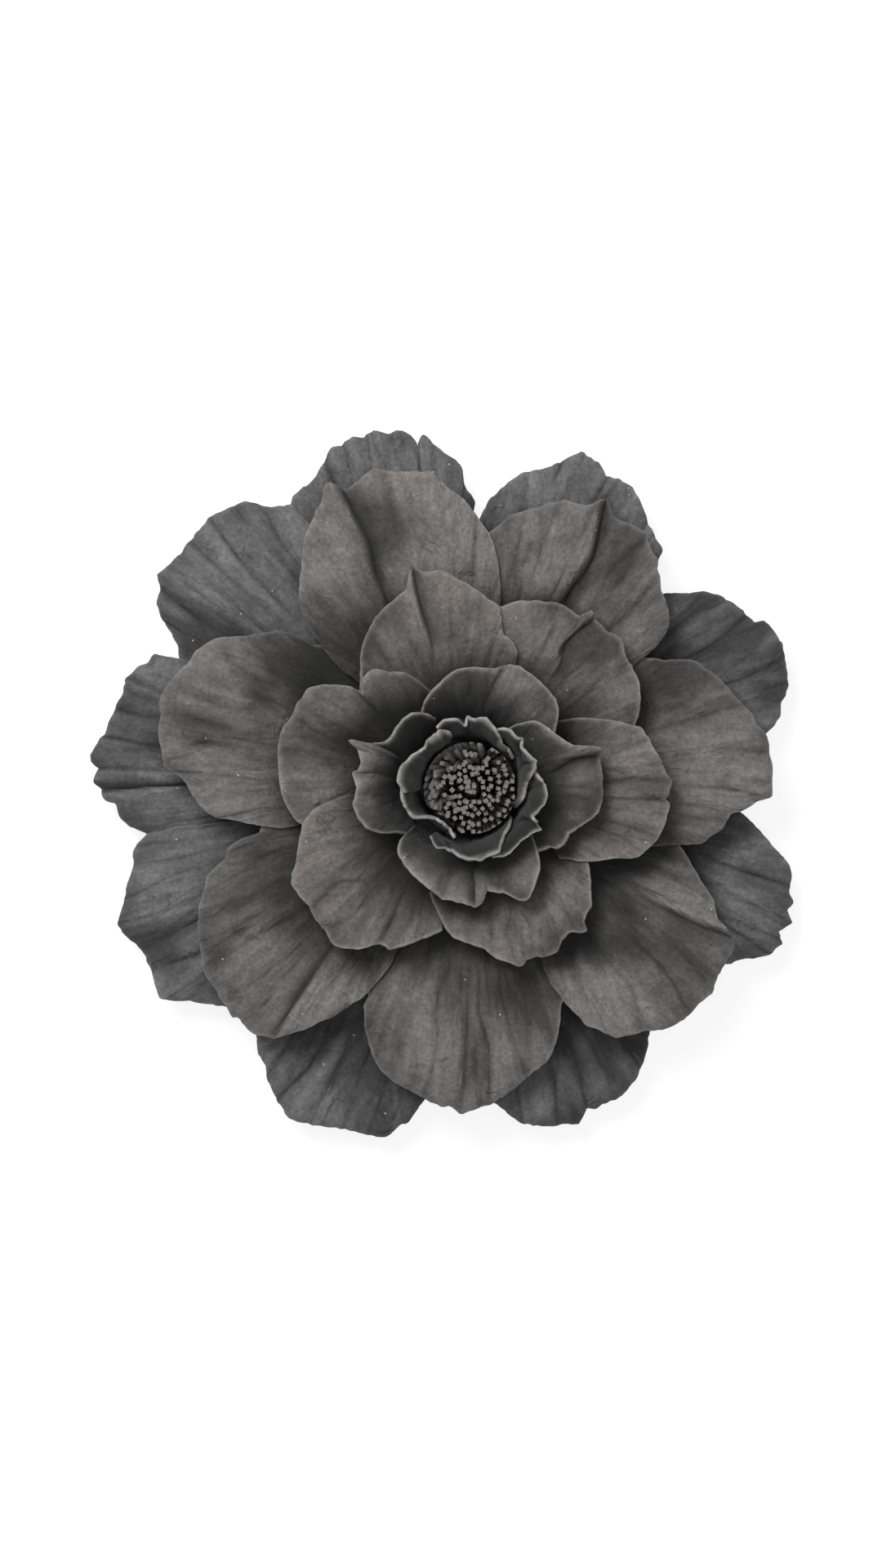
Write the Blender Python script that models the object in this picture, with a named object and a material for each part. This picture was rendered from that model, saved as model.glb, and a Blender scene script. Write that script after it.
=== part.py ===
"""A large flower folded and cut from thick craft paper, lying on its back.

The flower is five rings of shaped petals round a rolled fringe of stamens, all
glued in a stack on a round backing card. Each petal is one sheet: a narrow flat
claw that is glued down, and a fan that opens, rises and laps its neighbours.

Frame: the axis of the flower is Z, +Z is the side that faces the room, and the
origin is the centre of the backing card's flat rear face. Lengths in the tables
are millimetres and angles are degrees, anticlockwise from +X. Scene units are
metres.
"""

import math

import bmesh
import bpy

MM = 0.001

# From the axis to the farthest rim
FLOWER_RADIUS = 247.0

# The paper and the glue
SHEET = 2.0
GLUE_GAP = 0.3
LAP_GAP = 1.6

# The backing card
CARD_RADIUS = 72.0
CARD_THICKNESS = 4.0
CARD_EDGE = 0.8
CARD_SIDES = 48

# The claws: their share of the narrowest space between two petals of a ring
CLAW_SHARE = 0.74

# The stamens: one strip, cut into square-ended teeth and rolled up
STRIP_THICKNESS = 2.9
STRIP_HEIGHT = 60.0
BAND_HEIGHT = 26.0
ROLL_PITCH = 4.0
ROLL_CORE_RADIUS = 2.6
ROLL_RADIUS = 28.0
TOOTH_PITCH = 3.6
TOOTH_SLIT = 0.7
DOME_DROP = 7.0
OUTER_SPLAY = 2.4


def drawing_scale():
    """The tables of rings and rims are drawn for a flower of radius 247."""
    return (FLOWER_RADIUS - ROLL_RADIUS) / (247.0 - 28.0)


def from_drawing(radius):
    """A radius of the tables, drawn round a roll of 28, round the roll as it is."""
    return ROLL_RADIUS + drawing_scale() * (radius - 28.0)


class Ring:
    """One ring of petals and the bowl-shaped surface that they all follow.

    claw_radius and bend_radius bound the flat claw. The rise is a list of
    (radius, height over the claw): the section of the bowl from the bend out.
    Petals that lap stand half a step above or below it over lap_span degrees
    from the edge, and ease back to it in the next half span.
    The sway moves the ring's rim in or out, as (angle, distance) pairs.
    """

    def __init__(self, name, claw_radius, bend_radius, rise, lap_span, sway=()):
        self.name = name
        self.claw_radius = from_drawing(claw_radius)
        self.bend_radius = from_drawing(bend_radius)
        self.section = [(self.bend_radius, 0.0)]
        self.section += [(from_drawing(radius), height * drawing_scale()) for radius, height in rise]
        self.lap_span = lap_span
        self.sway = [(angle, shift * drawing_scale()) for angle, shift in sway]


OUTER_RING = Ring("outer_petal", 34.0, 60.0,
                  [(74.0, 2.2), (110.0, 11.0), (155.0, 20.5), (200.0, 25.0), (247.0, 22.5)], 12.0)
SECOND_RING = Ring("second_petal", 28.0, 48.0,
                   [(59.0, 5.0), (84.0, 19.0), (118.0, 36.0), (160.0, 49.0), (205.0, 52.0), (220.0, 51.0)],
                   14.0)
THIRD_RING = Ring("third_petal", 24.0, 42.0,
                  [(47.0, 7.0), (63.0, 28.0), (80.0, 44.0), (105.0, 59.0), (130.0, 65.0), (150.0, 64.0)],
                  28.0)
FOURTH_RING = Ring("fourth_petal", 18.0, 37.0,
                   [(40.5, 8.0), (46.0, 32.0), (53.0, 51.0), (64.0, 65.0), (78.0, 72.0), (92.0, 71.0)],
                   30.0)
CUP_RING = Ring("cup_petal", 10.0, 29.0,
                [(32.0, 6.0), (34.5, 38.0), (37.0, 60.0), (41.0, 73.0), (47.0, 79.0), (56.0, 79.0)],
                38.0,
                sway=[(200.0, 0.0), (216.0, -6.0), (231.0, -8.5), (246.0, -6.0), (262.0, 0.0)])
RINGS = [OUTER_RING, SECOND_RING, THIRD_RING, FOURTH_RING, CUP_RING]

# Every petal is cut and folded by hand, so each has its own rim. A rim is a
# list of (angle, reach from the axis, lift off the ring's surface): a tip that
# is pinched to a fold is sunk, and the lobes beside it stand proud. The two
# numbers before it say how the petal laps its neighbour on the side of lower
# and of higher angle: 1 over it, -1 under it, 0 clear of it.
OVER = 1
UNDER = -1
CLEAR = 0

PETALS = {
    OUTER_RING: [
        (CLEAR, UNDER, [(89, 186, 0), (91.5, 210, 0), (95.5, 222, 1), (97.5, 232, 2), (98.8, 225, -2),
                        (102, 238, 2), (105, 239, -1), (108.5, 241, 2), (112, 239, -1), (117, 224, 0),
                        (122, 219, 0), (127, 205, 0)]),
        (CLEAR, CLEAR, [(48, 180, 0), (51, 196, 0), (54, 204, 1), (59, 216, 1), (64, 223, -2),
                        (68.5, 228, 1), (72, 230, 2), (77, 212, 0), (83.5, 197, 0), (88, 176, 0)]),
        (CLEAR, CLEAR, [(8, 180, 0), (10, 194, 0), (14, 210, 1), (19, 219, 0), (25.5, 224, 3),
                        (30, 219, 2), (35, 210, -1), (40, 200, 0), (43.5, 185, 0), (47, 168, 0)]),
        (CLEAR, CLEAR, [(-38, 184, 0), (-35, 200, 0), (-32, 210, 1), (-28, 224, 2), (-22, 226, 1),
                        (-17.5, 217, -4), (-13.5, 214, 1), (-11, 201, 1), (-8, 189, 0), (-4, 172, 0)]),
        (CLEAR, CLEAR, [(-89, 190, 0), (-86, 204, 0), (-81.5, 220, 1), (-77, 226, 1), (-72.5, 230, 2),
                        (-69, 222, -2), (-65, 223, 1), (-60, 217, 1), (-54, 200, 0), (-50, 180, 0)]),
        (CLEAR, CLEAR, [(225, 192, 0), (229, 210, 0), (233, 224, 1), (237, 235, 1), (242, 244, 2),
                        (249, 236, -2), (255, 236, 1), (258.5, 223, 1), (261, 210, 0), (265, 190, 0)]),
        (OVER, CLEAR, [(187.5, 190, 0), (188, 212, 0), (191, 223, 1), (196, 231, 0), (202, 245, 2),
                       (206.5, 239, -2), (211, 240, 1), (214.5, 243, 3), (217.5, 228, 1), (220.5, 217, 0),
                       (225, 200, 0)]),
        (OVER, UNDER, [(155.5, 190, 0), (156.5, 212, 0), (159, 225, 1), (164, 235, 2), (170, 239, 1),
                       (175.5, 247, 2), (178, 243, 0), (180.5, 240, -5), (184.5, 229, 0), (188, 218, 0),
                       (194, 205, 0)]),
        (OVER, UNDER, [(121, 195, 0), (122.5, 217, 0), (126.5, 229, 1), (130, 239, 2), (134, 244, -1),
                       (139, 242, 2), (145.5, 246, 1), (149.5, 237, -1), (152.5, 219, 0), (156, 213, 0),
                       (161, 202, 0)]),
    ],
    SECOND_RING: [
        (OVER, OVER, [(80, 118, 0), (82.5, 145, 0), (88, 174, 1), (94.5, 195, 2), (101, 207, 4),
                      (108, 213, 3), (114.5, 217, -8), (119, 203, 2), (124.5, 189, 4), (129, 174, 3),
                      (134.5, 149, 1), (137, 114, 0)]),
        (OVER, UNDER, [(37.3, 128, 0), (38, 155, 0), (43, 174, 1), (50, 188, 3), (57, 200, 2),
                       (61, 199, 0), (64.7, 208, -7), (68, 197, 1), (73, 194, 3), (79, 183, 1),
                       (85, 170, 0), (92, 146, 0)]),
        (OVER, UNDER, [(-18, 122, 0), (-15, 146, 0), (-9.5, 164, 1), (-5, 177, 1), (-1.7, 195, -5),
                       (4, 196, 1), (11, 193, 3), (18, 182, 2), (24.5, 175, 1), (31, 161, 0),
                       (37, 146, 0), (44, 125, 0)]),
        (OVER, UNDER, [(-66.5, 118, 0), (-66.5, 145, 0), (-63.5, 172, 1), (-57, 189, 3), (-50.5, 200, 2),
                       (-44, 203, 1), (-38, 203, 1), (-32, 198, -6), (-28, 181, 1), (-22, 163, 1),
                       (-16, 143, 0), (-8, 120, 0)]),
        (UNDER, UNDER, [(-124, 138, 0), (-116, 154, 0), (-111, 180, 0), (-106, 194, 1), (-98, 203, 2),
                        (-91, 209, 1), (-85.5, 203, -2), (-79, 190, 1), (-73, 178, 0), (-67, 156, 0),
                        (-60, 135, 0)]),
        (UNDER, OVER, [(184, 128, 0), (192, 148, 0), (196, 166, 1), (201, 184, 2), (207, 197, 3),
                       (213.5, 208, 3), (220, 210, 1), (226, 211, 1), (231, 207, -6), (235, 190, 1),
                       (239, 172, 2), (243, 150, 0), (245.5, 117, 0)]),
        (UNDER, OVER, [(130, 118, 0), (137, 140, 0), (141.5, 163, 0), (147, 181, 1), (154, 198, 2),
                       (162, 207, 3), (170, 203, 0), (176, 197, 2), (180, 181, 3), (185, 171, 2),
                       (189, 149, 0), (192, 116, 0)]),
    ],
    THIRD_RING: [
        (OVER, UNDER, [(69, 80, 0), (72, 99, 0), (79, 107, 1), (84, 123, 2), (92, 133, 3),
                       (98, 140, 2), (104.6, 148, -6), (109, 133, 1), (116, 128, 1), (124, 118, 0),
                       (131, 107, 0), (140, 92, 0)]),
        (UNDER, UNDER, [(12, 98, 0), (20, 112, 0), (28, 125, 0), (36.5, 130, 0), (44.5, 136, 2),
                        (50, 134, 1), (55.5, 138, -5), (60, 131, 1), (67, 132, 2), (75, 125, 0),
                        (81, 117, 0), (88, 98, 0)]),
        (OVER, OVER, [(-38, 74, 0), (-33, 88, 0), (-26, 104, 1), (-21, 119, 2), (-14, 126, 3),
                      (-8.5, 128, 1), (-3.5, 125, -4), (2, 130, 2), (10, 123, 3), (19.5, 117, 1),
                      (25, 103, 1), (31, 88, 0), (38.5, 70, 0)]),
        (OVER, UNDER, [(-111, 72, 0), (-105, 83, 0), (-98, 96, 1), (-88, 102, 2), (-80, 113, 2),
                       (-73, 119, 0), (-66.5, 116, -3), (-61.5, 118, 1), (-55.5, 112, 0),
                       (-50.5, 119, 3), (-44, 109, 1), (-36, 96, 0), (-27, 82, 0)]),
        (OVER, UNDER, [(183, 78, 0), (186, 97, 0), (192, 111, 1), (200.5, 119, 2), (208, 130, 3),
                       (215, 128, 0), (222, 130, -1), (229, 134, 3), (235, 127, 1), (240, 115, -3),
                       (246, 112, 0), (253, 101, 0), (262, 86, 0)]),
        (OVER, UNDER, [(111.5, 70, 0), (119, 87, 0), (126.5, 97, 1), (134, 101, 1), (138.5, 95, -1),
                       (142, 108, 0), (148.5, 122, 2), (158.5, 123, 3), (167, 127, 2), (176, 123, 1),
                       (185, 118, 0), (191, 113, 0), (199, 98, 0)]),
    ],
    FOURTH_RING: [
        (UNDER, UNDER, [(30, 60, 0), (38.5, 70, 0), (46, 79, 0), (57, 82, 0), (67, 84, 2),
                        (77, 77, -3), (86, 77, 2), (95, 75, 1), (105.5, 69, 0), (116, 62, 0),
                        (126, 50, 0)]),
        (UNDER, OVER, [(-47, 57, 0), (-36, 64, 0), (-28, 69, 1), (-19, 74, 2), (-10, 84, 2),
                       (0, 85, 0), (9.5, 85, 2), (17, 87, -4), (23, 72, 1), (32, 67, 2),
                       (42, 63, 1), (52, 55, 0), (60, 44, 0)]),
        (OVER, OVER, [(-146, 47, 0), (-139, 62, 0), (-128, 67, 1), (-117, 71, 2), (-106, 72, 0),
                      (-96, 73, 2), (-87, 75, -3), (-81.5, 68, 2), (-74, 69, -1), (-66, 79, 2),
                      (-59, 79, 1), (-51, 71, 0), (-43, 62, 0), (-37, 54, 0)]),
        (OVER, UNDER, [(116.5, 50, 0), (123, 58, 0), (133, 62, 2), (145, 61, -1), (153, 64, 1),
                       (158.3, 82, -4), (163.5, 74, 1), (171, 71, -2), (177, 74, 2), (186, 75, -1),
                       (194.5, 74, 2), (203, 69, 0), (212, 55, 0), (221, 46, 0)]),
    ],
    CUP_RING: [
        (OVER, OVER, [(110, 41, 0), (117, 43, 0), (128, 43, 2), (138, 41, -1), (147, 42, 0),
                      (157, 45, 2), (168, 47, 0), (178, 46, 1), (186, 42, 0)]),
        (OVER, UNDER, [(34, 36, 0), (46, 37, 0), (57, 39, 1), (67, 42, 1), (78, 42, 0),
                       (88, 41, -1), (94.5, 39, -2), (102, 44, 1), (111, 46, 0), (119, 43, 0)]),
        (OVER, UNDER, [(-22, 35, 0), (-11.5, 38, 0), (-2, 38.5, 1), (8, 41, 0), (17, 45, -2),
                       (25, 43, 1), (34, 41, 0), (45, 42, 0), (58, 42, 0), (68, 37, 0)]),
        (UNDER, UNDER, [(-72, 46, 0), (-62, 49, 0), (-51, 48, 0), (-40, 49, -1), (-31, 52, -3),
                        (-25, 43, 1), (-16, 47, 0), (-6, 50, -1), (5, 48, -1), (14, 43, -1)]),
        (UNDER, OVER, [(-130, 40, 0), (-121, 44, 0), (-110, 41.5, 0), (-99, 43, 1), (-88, 46, 2),
                       (-76, 46, 0), (-64, 45, 1), (-54, 40, 0), (-44, 37, 0), (-34, 34.5, 0)]),
        (UNDER, OVER, [(164, 40, -1), (173, 42, -1), (184, 43, 0), (195, 42, 0), (205, 39, 0),
                       (214, 34, 0), (223, 31, 0), (233, 30, 0), (244, 31, 0), (253, 35, 0)]),
    ],
}

# Where a petal has a row of points, as shares of the way from its throat, where
# the fan leaves the claw, to its rim: close together where the bowl curls over
FAN_ROWS = (0.0, 0.45, 0.78, 1.0)

CHARCOAL = (0.098, 0.093, 0.088, 1.0)
STAMEN_GREY = (0.171, 0.160, 0.150, 1.0)
CARD_BLACK = (0.030, 0.030, 0.031, 1.0)


def clear_scene():
    for obj in list(bpy.data.objects):
        bpy.data.objects.remove(obj, do_unlink=True)


def make_material(name, colour, roughness):
    material = bpy.data.materials.new(name)
    material.use_nodes = True
    shader = material.node_tree.nodes["Principled BSDF"]
    shader.inputs["Base Color"].default_value = colour
    shader.inputs["Roughness"].default_value = roughness
    shader.inputs["Metallic"].default_value = 0.0
    return material


def add_object(name, bm, material):
    mesh = bpy.data.meshes.new(name)
    bm.to_mesh(mesh)
    bm.free()
    obj = bpy.data.objects.new(name, mesh)
    obj.data.materials.append(material)
    bpy.context.scene.collection.objects.link(obj)
    return obj


def smooth_step(value):
    value = min(1.0, max(0.0, value))
    return value * value * (3.0 - 2.0 * value)


def mix(start, end, share):
    return start + (end - start) * share


def claw_level(ring):
    """Height of the middle of a ring's claws: each ring is glued on the last."""
    step = SHEET + GLUE_GAP
    return CARD_THICKNESS + GLUE_GAP + SHEET / 2 + RINGS.index(ring) * step


def section_lengths(section):
    lengths = [0.0]
    for (r0, z0), (r1, z1) in zip(section, section[1:]):
        lengths.append(lengths[-1] + math.hypot(r1 - r0, z1 - z0))
    return lengths


def point_on_section(section, distance):
    """Radius, height and upward normal of the bowl, a distance past the bend."""
    lengths = section_lengths(section)
    index = 0
    while index < len(section) - 2 and distance > lengths[index + 1]:
        index += 1
    (r0, z0), (r1, z1) = section[index], section[index + 1]
    span = lengths[index + 1] - lengths[index]
    share = (distance - lengths[index]) / span
    normal = (-(z1 - z0) / span, (r1 - r0) / span)
    return mix(r0, r1, share), mix(z0, z1, share), normal


def distance_at_radius(section, radius):
    """How far past the bend the bowl reaches a radius."""
    lengths = section_lengths(section)
    index = 0
    while index < len(section) - 2 and radius > section[index + 1][0]:
        index += 1
    r0, r1 = section[index][0], section[index + 1][0]
    return mix(lengths[index], lengths[index + 1], (radius - r0) / (r1 - r0))


def sway_at(ring, angle):
    """Radial shift of the ring's rim at an angle, eased between its pairs."""
    for (a0, d0), (a1, d1) in zip(ring.sway, ring.sway[1:]):
        turned = a0 + (angle - a0) % 360.0
        if turned <= a1:
            return mix(d0, d1, smooth_step((turned - a0) / (a1 - a0)))
    return 0.0


def rim_middle(petal):
    rim = petal[2]
    return (rim[0][0] + rim[-1][0]) / 2


def claw_half_angle(ring):
    middles = sorted(rim_middle(petal) % 360.0 for petal in PETALS[ring])
    turned = middles[1:] + [middles[0] + 360.0]
    return CLAW_SHARE * min(b - a for a, b in zip(middles, turned)) / 2


def lap_offset(ring, petal, angle, low_edge, high_edge, distance):
    """Half a step up or down where a petal laps the next one of its ring."""
    low_lap, high_lap = petal[0], petal[1]
    half_step = (SHEET + LAP_GAP) / 2
    low_share = smooth_step(3.0 - 2.0 * (angle - low_edge) / ring.lap_span)
    high_share = smooth_step(3.0 - 2.0 * (high_edge - angle) / ring.lap_span)
    side = min(1.0, max(-1.0, low_lap * low_share + high_lap * high_share))
    return half_step * smooth_step(distance / section_lengths(ring.section)[1]) * side


def column_angle(ring, petal, column, distance):
    """Angle of one straight cut of the fan, a distance past the bend."""
    rim = petal[2]
    across = 2.0 * column / (len(rim) - 1) - 1.0
    claw_angle = rim_middle(petal) + across * claw_half_angle(ring)
    reach = column_reach(ring, rim[column])
    opened = 1.0 / ring.bend_radius - 1.0 / (ring.bend_radius + min(distance, reach))
    full = 1.0 / ring.bend_radius - 1.0 / (ring.bend_radius + reach)
    return mix(claw_angle, rim[column][0], opened / full)


def column_reach(ring, rim_point):
    """Length of sheet from the bend to a point of the rim."""
    angle, radius, lift = rim_point
    return distance_at_radius(ring.section, from_drawing(radius) - sway_at(ring, angle))


def fan_point(ring, petal, column, row):
    """Angle, radius and height of a point of the fan; row 0 is at the throat."""
    rim = petal[2]
    reach = column_reach(ring, rim[column])
    throat = section_lengths(ring.section)[1]
    distance = mix(throat, reach, FAN_ROWS[row])
    share = distance / reach
    angle = column_angle(ring, petal, column, distance)
    low_edge = column_angle(ring, petal, 0, distance)
    high_edge = column_angle(ring, petal, len(rim) - 1, distance)
    radius, height, normal = point_on_section(ring.section, distance)
    offset = lap_offset(ring, petal, angle, low_edge, high_edge, distance)
    offset += rim[column][2] * drawing_scale() * share ** 1.5
    radius += normal[0] * offset + sway_at(ring, angle) * share ** 4
    height += normal[1] * offset
    return angle, radius, height


def petal_sheet(ring, petal):
    """The middle surface of a petal: a grid whose columns run from claw to rim."""
    columns = len(petal[2]) - 1
    rows = len(FAN_ROWS) + 1
    bm = bmesh.new()
    bmesh.ops.create_grid(bm, x_segments=columns, y_segments=rows, size=1.0)
    level = claw_level(ring)
    middle = rim_middle(petal)
    half_claw = claw_half_angle(ring)
    for vert in bm.verts:
        column = round((1.0 - vert.co.x) / 2 * columns)
        row = round((1.0 + vert.co.y) / 2 * rows)
        if row < 2:
            angle = middle + (2.0 * column / columns - 1.0) * half_claw
            radius = (ring.claw_radius, ring.bend_radius)[row]
            height = 0.0
        else:
            angle, radius, height = fan_point(ring, petal, column, row - 2)
        turn = math.radians(angle)
        vert.co = (radius * math.cos(turn) * MM, radius * math.sin(turn) * MM, (level + height) * MM)
    return bm


def make_petal(ring, number, petal, material):
    obj = add_object(f"{ring.name}_{number}", petal_sheet(ring, petal), material)
    obj.data.shade_smooth()
    sheet = obj.modifiers.new("paper", "SOLIDIFY")
    sheet.thickness = SHEET * MM
    sheet.offset = 0.0
    sheet.use_even_offset = True
    return obj


def make_backing_card(material):
    bm = bmesh.new()
    bmesh.ops.create_cone(bm, cap_ends=True, segments=CARD_SIDES, radius1=CARD_RADIUS * MM,
                          radius2=CARD_RADIUS * MM, depth=CARD_THICKNESS * MM)
    bmesh.ops.translate(bm, verts=bm.verts, vec=(0.0, 0.0, CARD_THICKNESS / 2 * MM))
    edges = [edge for edge in bm.edges if abs(edge.verts[0].co.z - edge.verts[1].co.z) < 1e-6]
    bmesh.ops.bevel(bm, geom=edges, offset=CARD_EDGE * MM, segments=1, affect="EDGES")
    return add_object("backing_card", bm, material)


def roll_angle(distance):
    """Turn of the spiral, in radians, after a distance along the strip."""
    growth = ROLL_PITCH / (2 * math.pi)
    return (math.sqrt(ROLL_CORE_RADIUS ** 2 + 2 * growth * distance) - ROLL_CORE_RADIUS) / growth


def strip_length():
    outer = ROLL_RADIUS - STRIP_THICKNESS / 2
    return math.pi * (outer ** 2 - ROLL_CORE_RADIUS ** 2) / ROLL_PITCH


def flat_comb(teeth):
    """The strip before it is rolled: X is the tooth number, Y crosses the strip."""
    bm = bmesh.new()
    bmesh.ops.create_grid(bm, x_segments=teeth, y_segments=1, size=0.5)
    band = bmesh.ops.extrude_face_region(bm, geom=bm.faces[:], use_keep_orig=True)["geom"]
    tops = [item for item in band if isinstance(item, bmesh.types.BMFace)]
    for vert in {v for face in tops for v in face.verts}:
        vert.co.z = BAND_HEIGHT
    for face in bmesh.ops.extrude_discrete_faces(bm, faces=tops)["faces"]:
        middle = face.calc_center_median().x
        for vert in face.verts:
            inward = TOOTH_SLIT / 2 / TOOTH_PITCH / teeth
            vert.co.x += inward if vert.co.x < middle else -inward
            vert.co.z = STRIP_HEIGHT
    bmesh.ops.recalc_face_normals(bm, faces=bm.faces[:])
    return bm


def roll_point(along, across, height, floor):
    """Where a point of the flat comb lies once the strip is rolled up."""
    turn = roll_angle(along * strip_length())
    radius = ROLL_CORE_RADIUS + ROLL_PITCH * turn / (2 * math.pi)
    outward = radius / ROLL_RADIUS
    tooth_share = max(0.0, height - BAND_HEIGHT) / (STRIP_HEIGHT - BAND_HEIGHT)
    radius += across * STRIP_THICKNESS + OUTER_SPLAY * outward ** 2 * tooth_share
    height -= DOME_DROP * outward ** 2 * tooth_share
    return radius * math.cos(turn) * MM, radius * math.sin(turn) * MM, (floor + height) * MM


def make_stamen_roll(material):
    teeth = round(strip_length() / TOOTH_PITCH)
    floor = claw_level(CUP_RING) + SHEET / 2 + GLUE_GAP
    bm = flat_comb(teeth)
    for vert in bm.verts:
        vert.co = roll_point(vert.co.x + 0.5, vert.co.y, vert.co.z, floor)
    # Rolled outer side outwards, the strip is mirrored
    bmesh.ops.reverse_faces(bm, faces=bm.faces[:])
    return add_object("stamen_roll", bm, material)


def build_flower():
    clear_scene()
    paper = make_material("charcoal_paper", CHARCOAL, 0.85)
    make_backing_card(make_material("black_card", CARD_BLACK, 0.9))
    for ring in RINGS:
        for number, petal in enumerate(PETALS[ring], start=1):
            make_petal(ring, number, petal, paper)
    make_stamen_roll(make_material("grey_fringe_paper", STAMEN_GREY, 0.85))


build_flower()
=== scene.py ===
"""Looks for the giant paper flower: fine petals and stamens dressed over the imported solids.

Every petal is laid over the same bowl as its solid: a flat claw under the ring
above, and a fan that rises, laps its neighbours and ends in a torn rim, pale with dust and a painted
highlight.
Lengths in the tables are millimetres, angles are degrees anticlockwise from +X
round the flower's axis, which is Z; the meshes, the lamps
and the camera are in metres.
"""

import math

import bpy
import numpy as np
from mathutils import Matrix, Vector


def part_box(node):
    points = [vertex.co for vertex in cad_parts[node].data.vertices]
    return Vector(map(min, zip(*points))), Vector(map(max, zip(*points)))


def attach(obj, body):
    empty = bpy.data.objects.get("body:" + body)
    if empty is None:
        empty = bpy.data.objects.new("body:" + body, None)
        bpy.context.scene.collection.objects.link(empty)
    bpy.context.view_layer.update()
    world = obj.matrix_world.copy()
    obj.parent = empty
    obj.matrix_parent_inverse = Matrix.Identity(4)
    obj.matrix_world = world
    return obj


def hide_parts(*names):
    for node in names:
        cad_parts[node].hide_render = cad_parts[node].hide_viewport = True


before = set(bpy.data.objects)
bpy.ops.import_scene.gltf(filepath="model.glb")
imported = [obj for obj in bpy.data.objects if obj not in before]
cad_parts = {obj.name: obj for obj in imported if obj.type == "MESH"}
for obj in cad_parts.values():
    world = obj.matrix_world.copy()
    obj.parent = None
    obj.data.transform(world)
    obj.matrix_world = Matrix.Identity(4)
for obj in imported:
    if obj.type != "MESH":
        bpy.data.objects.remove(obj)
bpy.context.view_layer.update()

MM = 0.001
# The sheet's thickness, the clear gap where two sheets lap, the rounding of its cut edges, and
# the pale strip along the rim, partly rubbed chalk and partly a painted highlight
SHEET = 2.0
LAP_GAP = 1.6
CUT_EDGE = 0.4
PALE_RIM_WIDTH = 5.0
# A claw fills this share of the angle between two petals, in this many rows of faces
CLAW_SHARE = 0.74
CLAW_ROWS = 2
# A fold at least this deep stands up as a crest
CREST_DEPTH = 5.5
# One unit of the sheets' UV map
UV_UNIT = 100.0
# The knob of pulp: the radius of the ball it is pressed from, and its place
BEAD_SIZE = 2.1
BEAD_AT_RADIUS = 100.0
BEAD_AT_ANGLE = 185.0
# How a petal meets the neighbour on one side
OVER = 1
UNDER = -1
CLEAR = 0

# The camera's lens and sensor, and in metres: the flower's middle height, what the picture's long
# side spans there, and where its middle is
LENS = 120.0
SENSOR = 36.0
MIDDLE_HEIGHT = 0.04
VIEW_SPAN = 1.0176
VIEW_MIDDLE = (-0.01855, 0.00265)
# How white the floor looks, and how much light comes from all round
FLOOR_GLOW = 0.84
SKY_FILL = 0.20
WHITE = (1.0, 1.0, 1.0, 1.0)


class Ring:
    """A ring's bowl: the flat claw, and the section (radius, height) past its bend.

    lap_span is the angle, in from a lapped side, over which the sheet is fully raised or sunk.
    columns and rows are the faces across a fan and along it, and sway (angle, shift) moves the
    rim in or out.
    """

    def __init__(self, name, claw_radius, bend_radius, rise, lap_span, columns, rows, look, sway=()):
        self.name = name
        self.claw_radius = claw_radius
        self.bend_radius = bend_radius
        self.section = [(bend_radius, 0.0)] + rise
        self.lap_span = lap_span
        self.columns = columns
        self.rows = rows
        self.look = look
        self.sway = sway


class Look:
    """How strongly a ring's paper is worked.

    lump, flutter and curl are mm of relief, and scallop is mm in and out along the rim. curl_width
    is the strip along the rim that curls, and creases counts the stray ones. warmth goes from cool
    grey at 0 to warm at 1. shaded (radius, radius, darkness) is where the painted shade at the base
    starts to fade, where it is gone, and how dark it is.
    """

    def __init__(self, lump, creases, flutter, scallop, curl, curl_width, warmth, shaded):
        self.lump = lump
        self.creases = creases
        self.flutter = flutter
        self.scallop = scallop
        self.curl = curl
        self.curl_width = curl_width
        self.warmth = warmth
        self.shaded = shaded


OUTER_RING = Ring("outer_petal", 34.0, 60.0,
                  [(74.0, 2.2), (110.0, 11.0), (155.0, 20.5), (200.0, 25.0), (247.0, 22.5)], 12.0,
                  104, 60, Look(2.6, 18, 1.8, 0.7, 1.0, 5.0, 0.0, (125.0, 205.0, 0.75)))
SECOND_RING = Ring("second_petal", 28.0, 48.0,
                   [(59.0, 5.0), (84.0, 19.0), (118.0, 36.0), (160.0, 49.0), (205.0, 52.0), (220.0, 51.0)],
                   14.0, 112, 60, Look(3.4, 16, 1.6, 0.6, 1.6, 5.0, 0.6, (102.0, 162.0, 0.95)))
THIRD_RING = Ring("third_petal", 24.0, 42.0,
                  [(47.0, 7.0), (63.0, 28.0), (80.0, 44.0), (105.0, 59.0), (130.0, 65.0), (150.0, 64.0)],
                  28.0, 96, 52, Look(2.8, 11, 1.7, 0.5, 1.8, 4.0, 1.0, (71.0, 108.0, 1.0)))
FOURTH_RING = Ring("fourth_petal", 18.0, 37.0,
                   [(40.5, 8.0), (46.0, 32.0), (53.0, 51.0), (64.0, 65.0), (78.0, 72.0), (92.0, 71.0)],
                   30.0, 88, 48, Look(2.0, 7, 3.2, 0.3, 2.8, 4.5, 0.9, (51.0, 71.0, 1.0)))
CUP_RING = Ring("cup_petal", 10.0, 29.0,
                [(32.0, 6.0), (34.5, 38.0), (37.0, 60.0), (41.0, 73.0), (47.0, 79.0), (56.0, 79.0)],
                38.0, 72, 48, Look(0.7, 3, 4.2, 0.2, 3.6, 4.0, 0.8, (43.0, 60.0, 0.95)),
                sway=[(200.0, 0.0), (216.0, -6.0), (231.0, -8.5), (246.0, -6.0), (262.0, 0.0)])
RINGS = [OUTER_RING, SECOND_RING, THIRD_RING, FOURTH_RING, CUP_RING]


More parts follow.
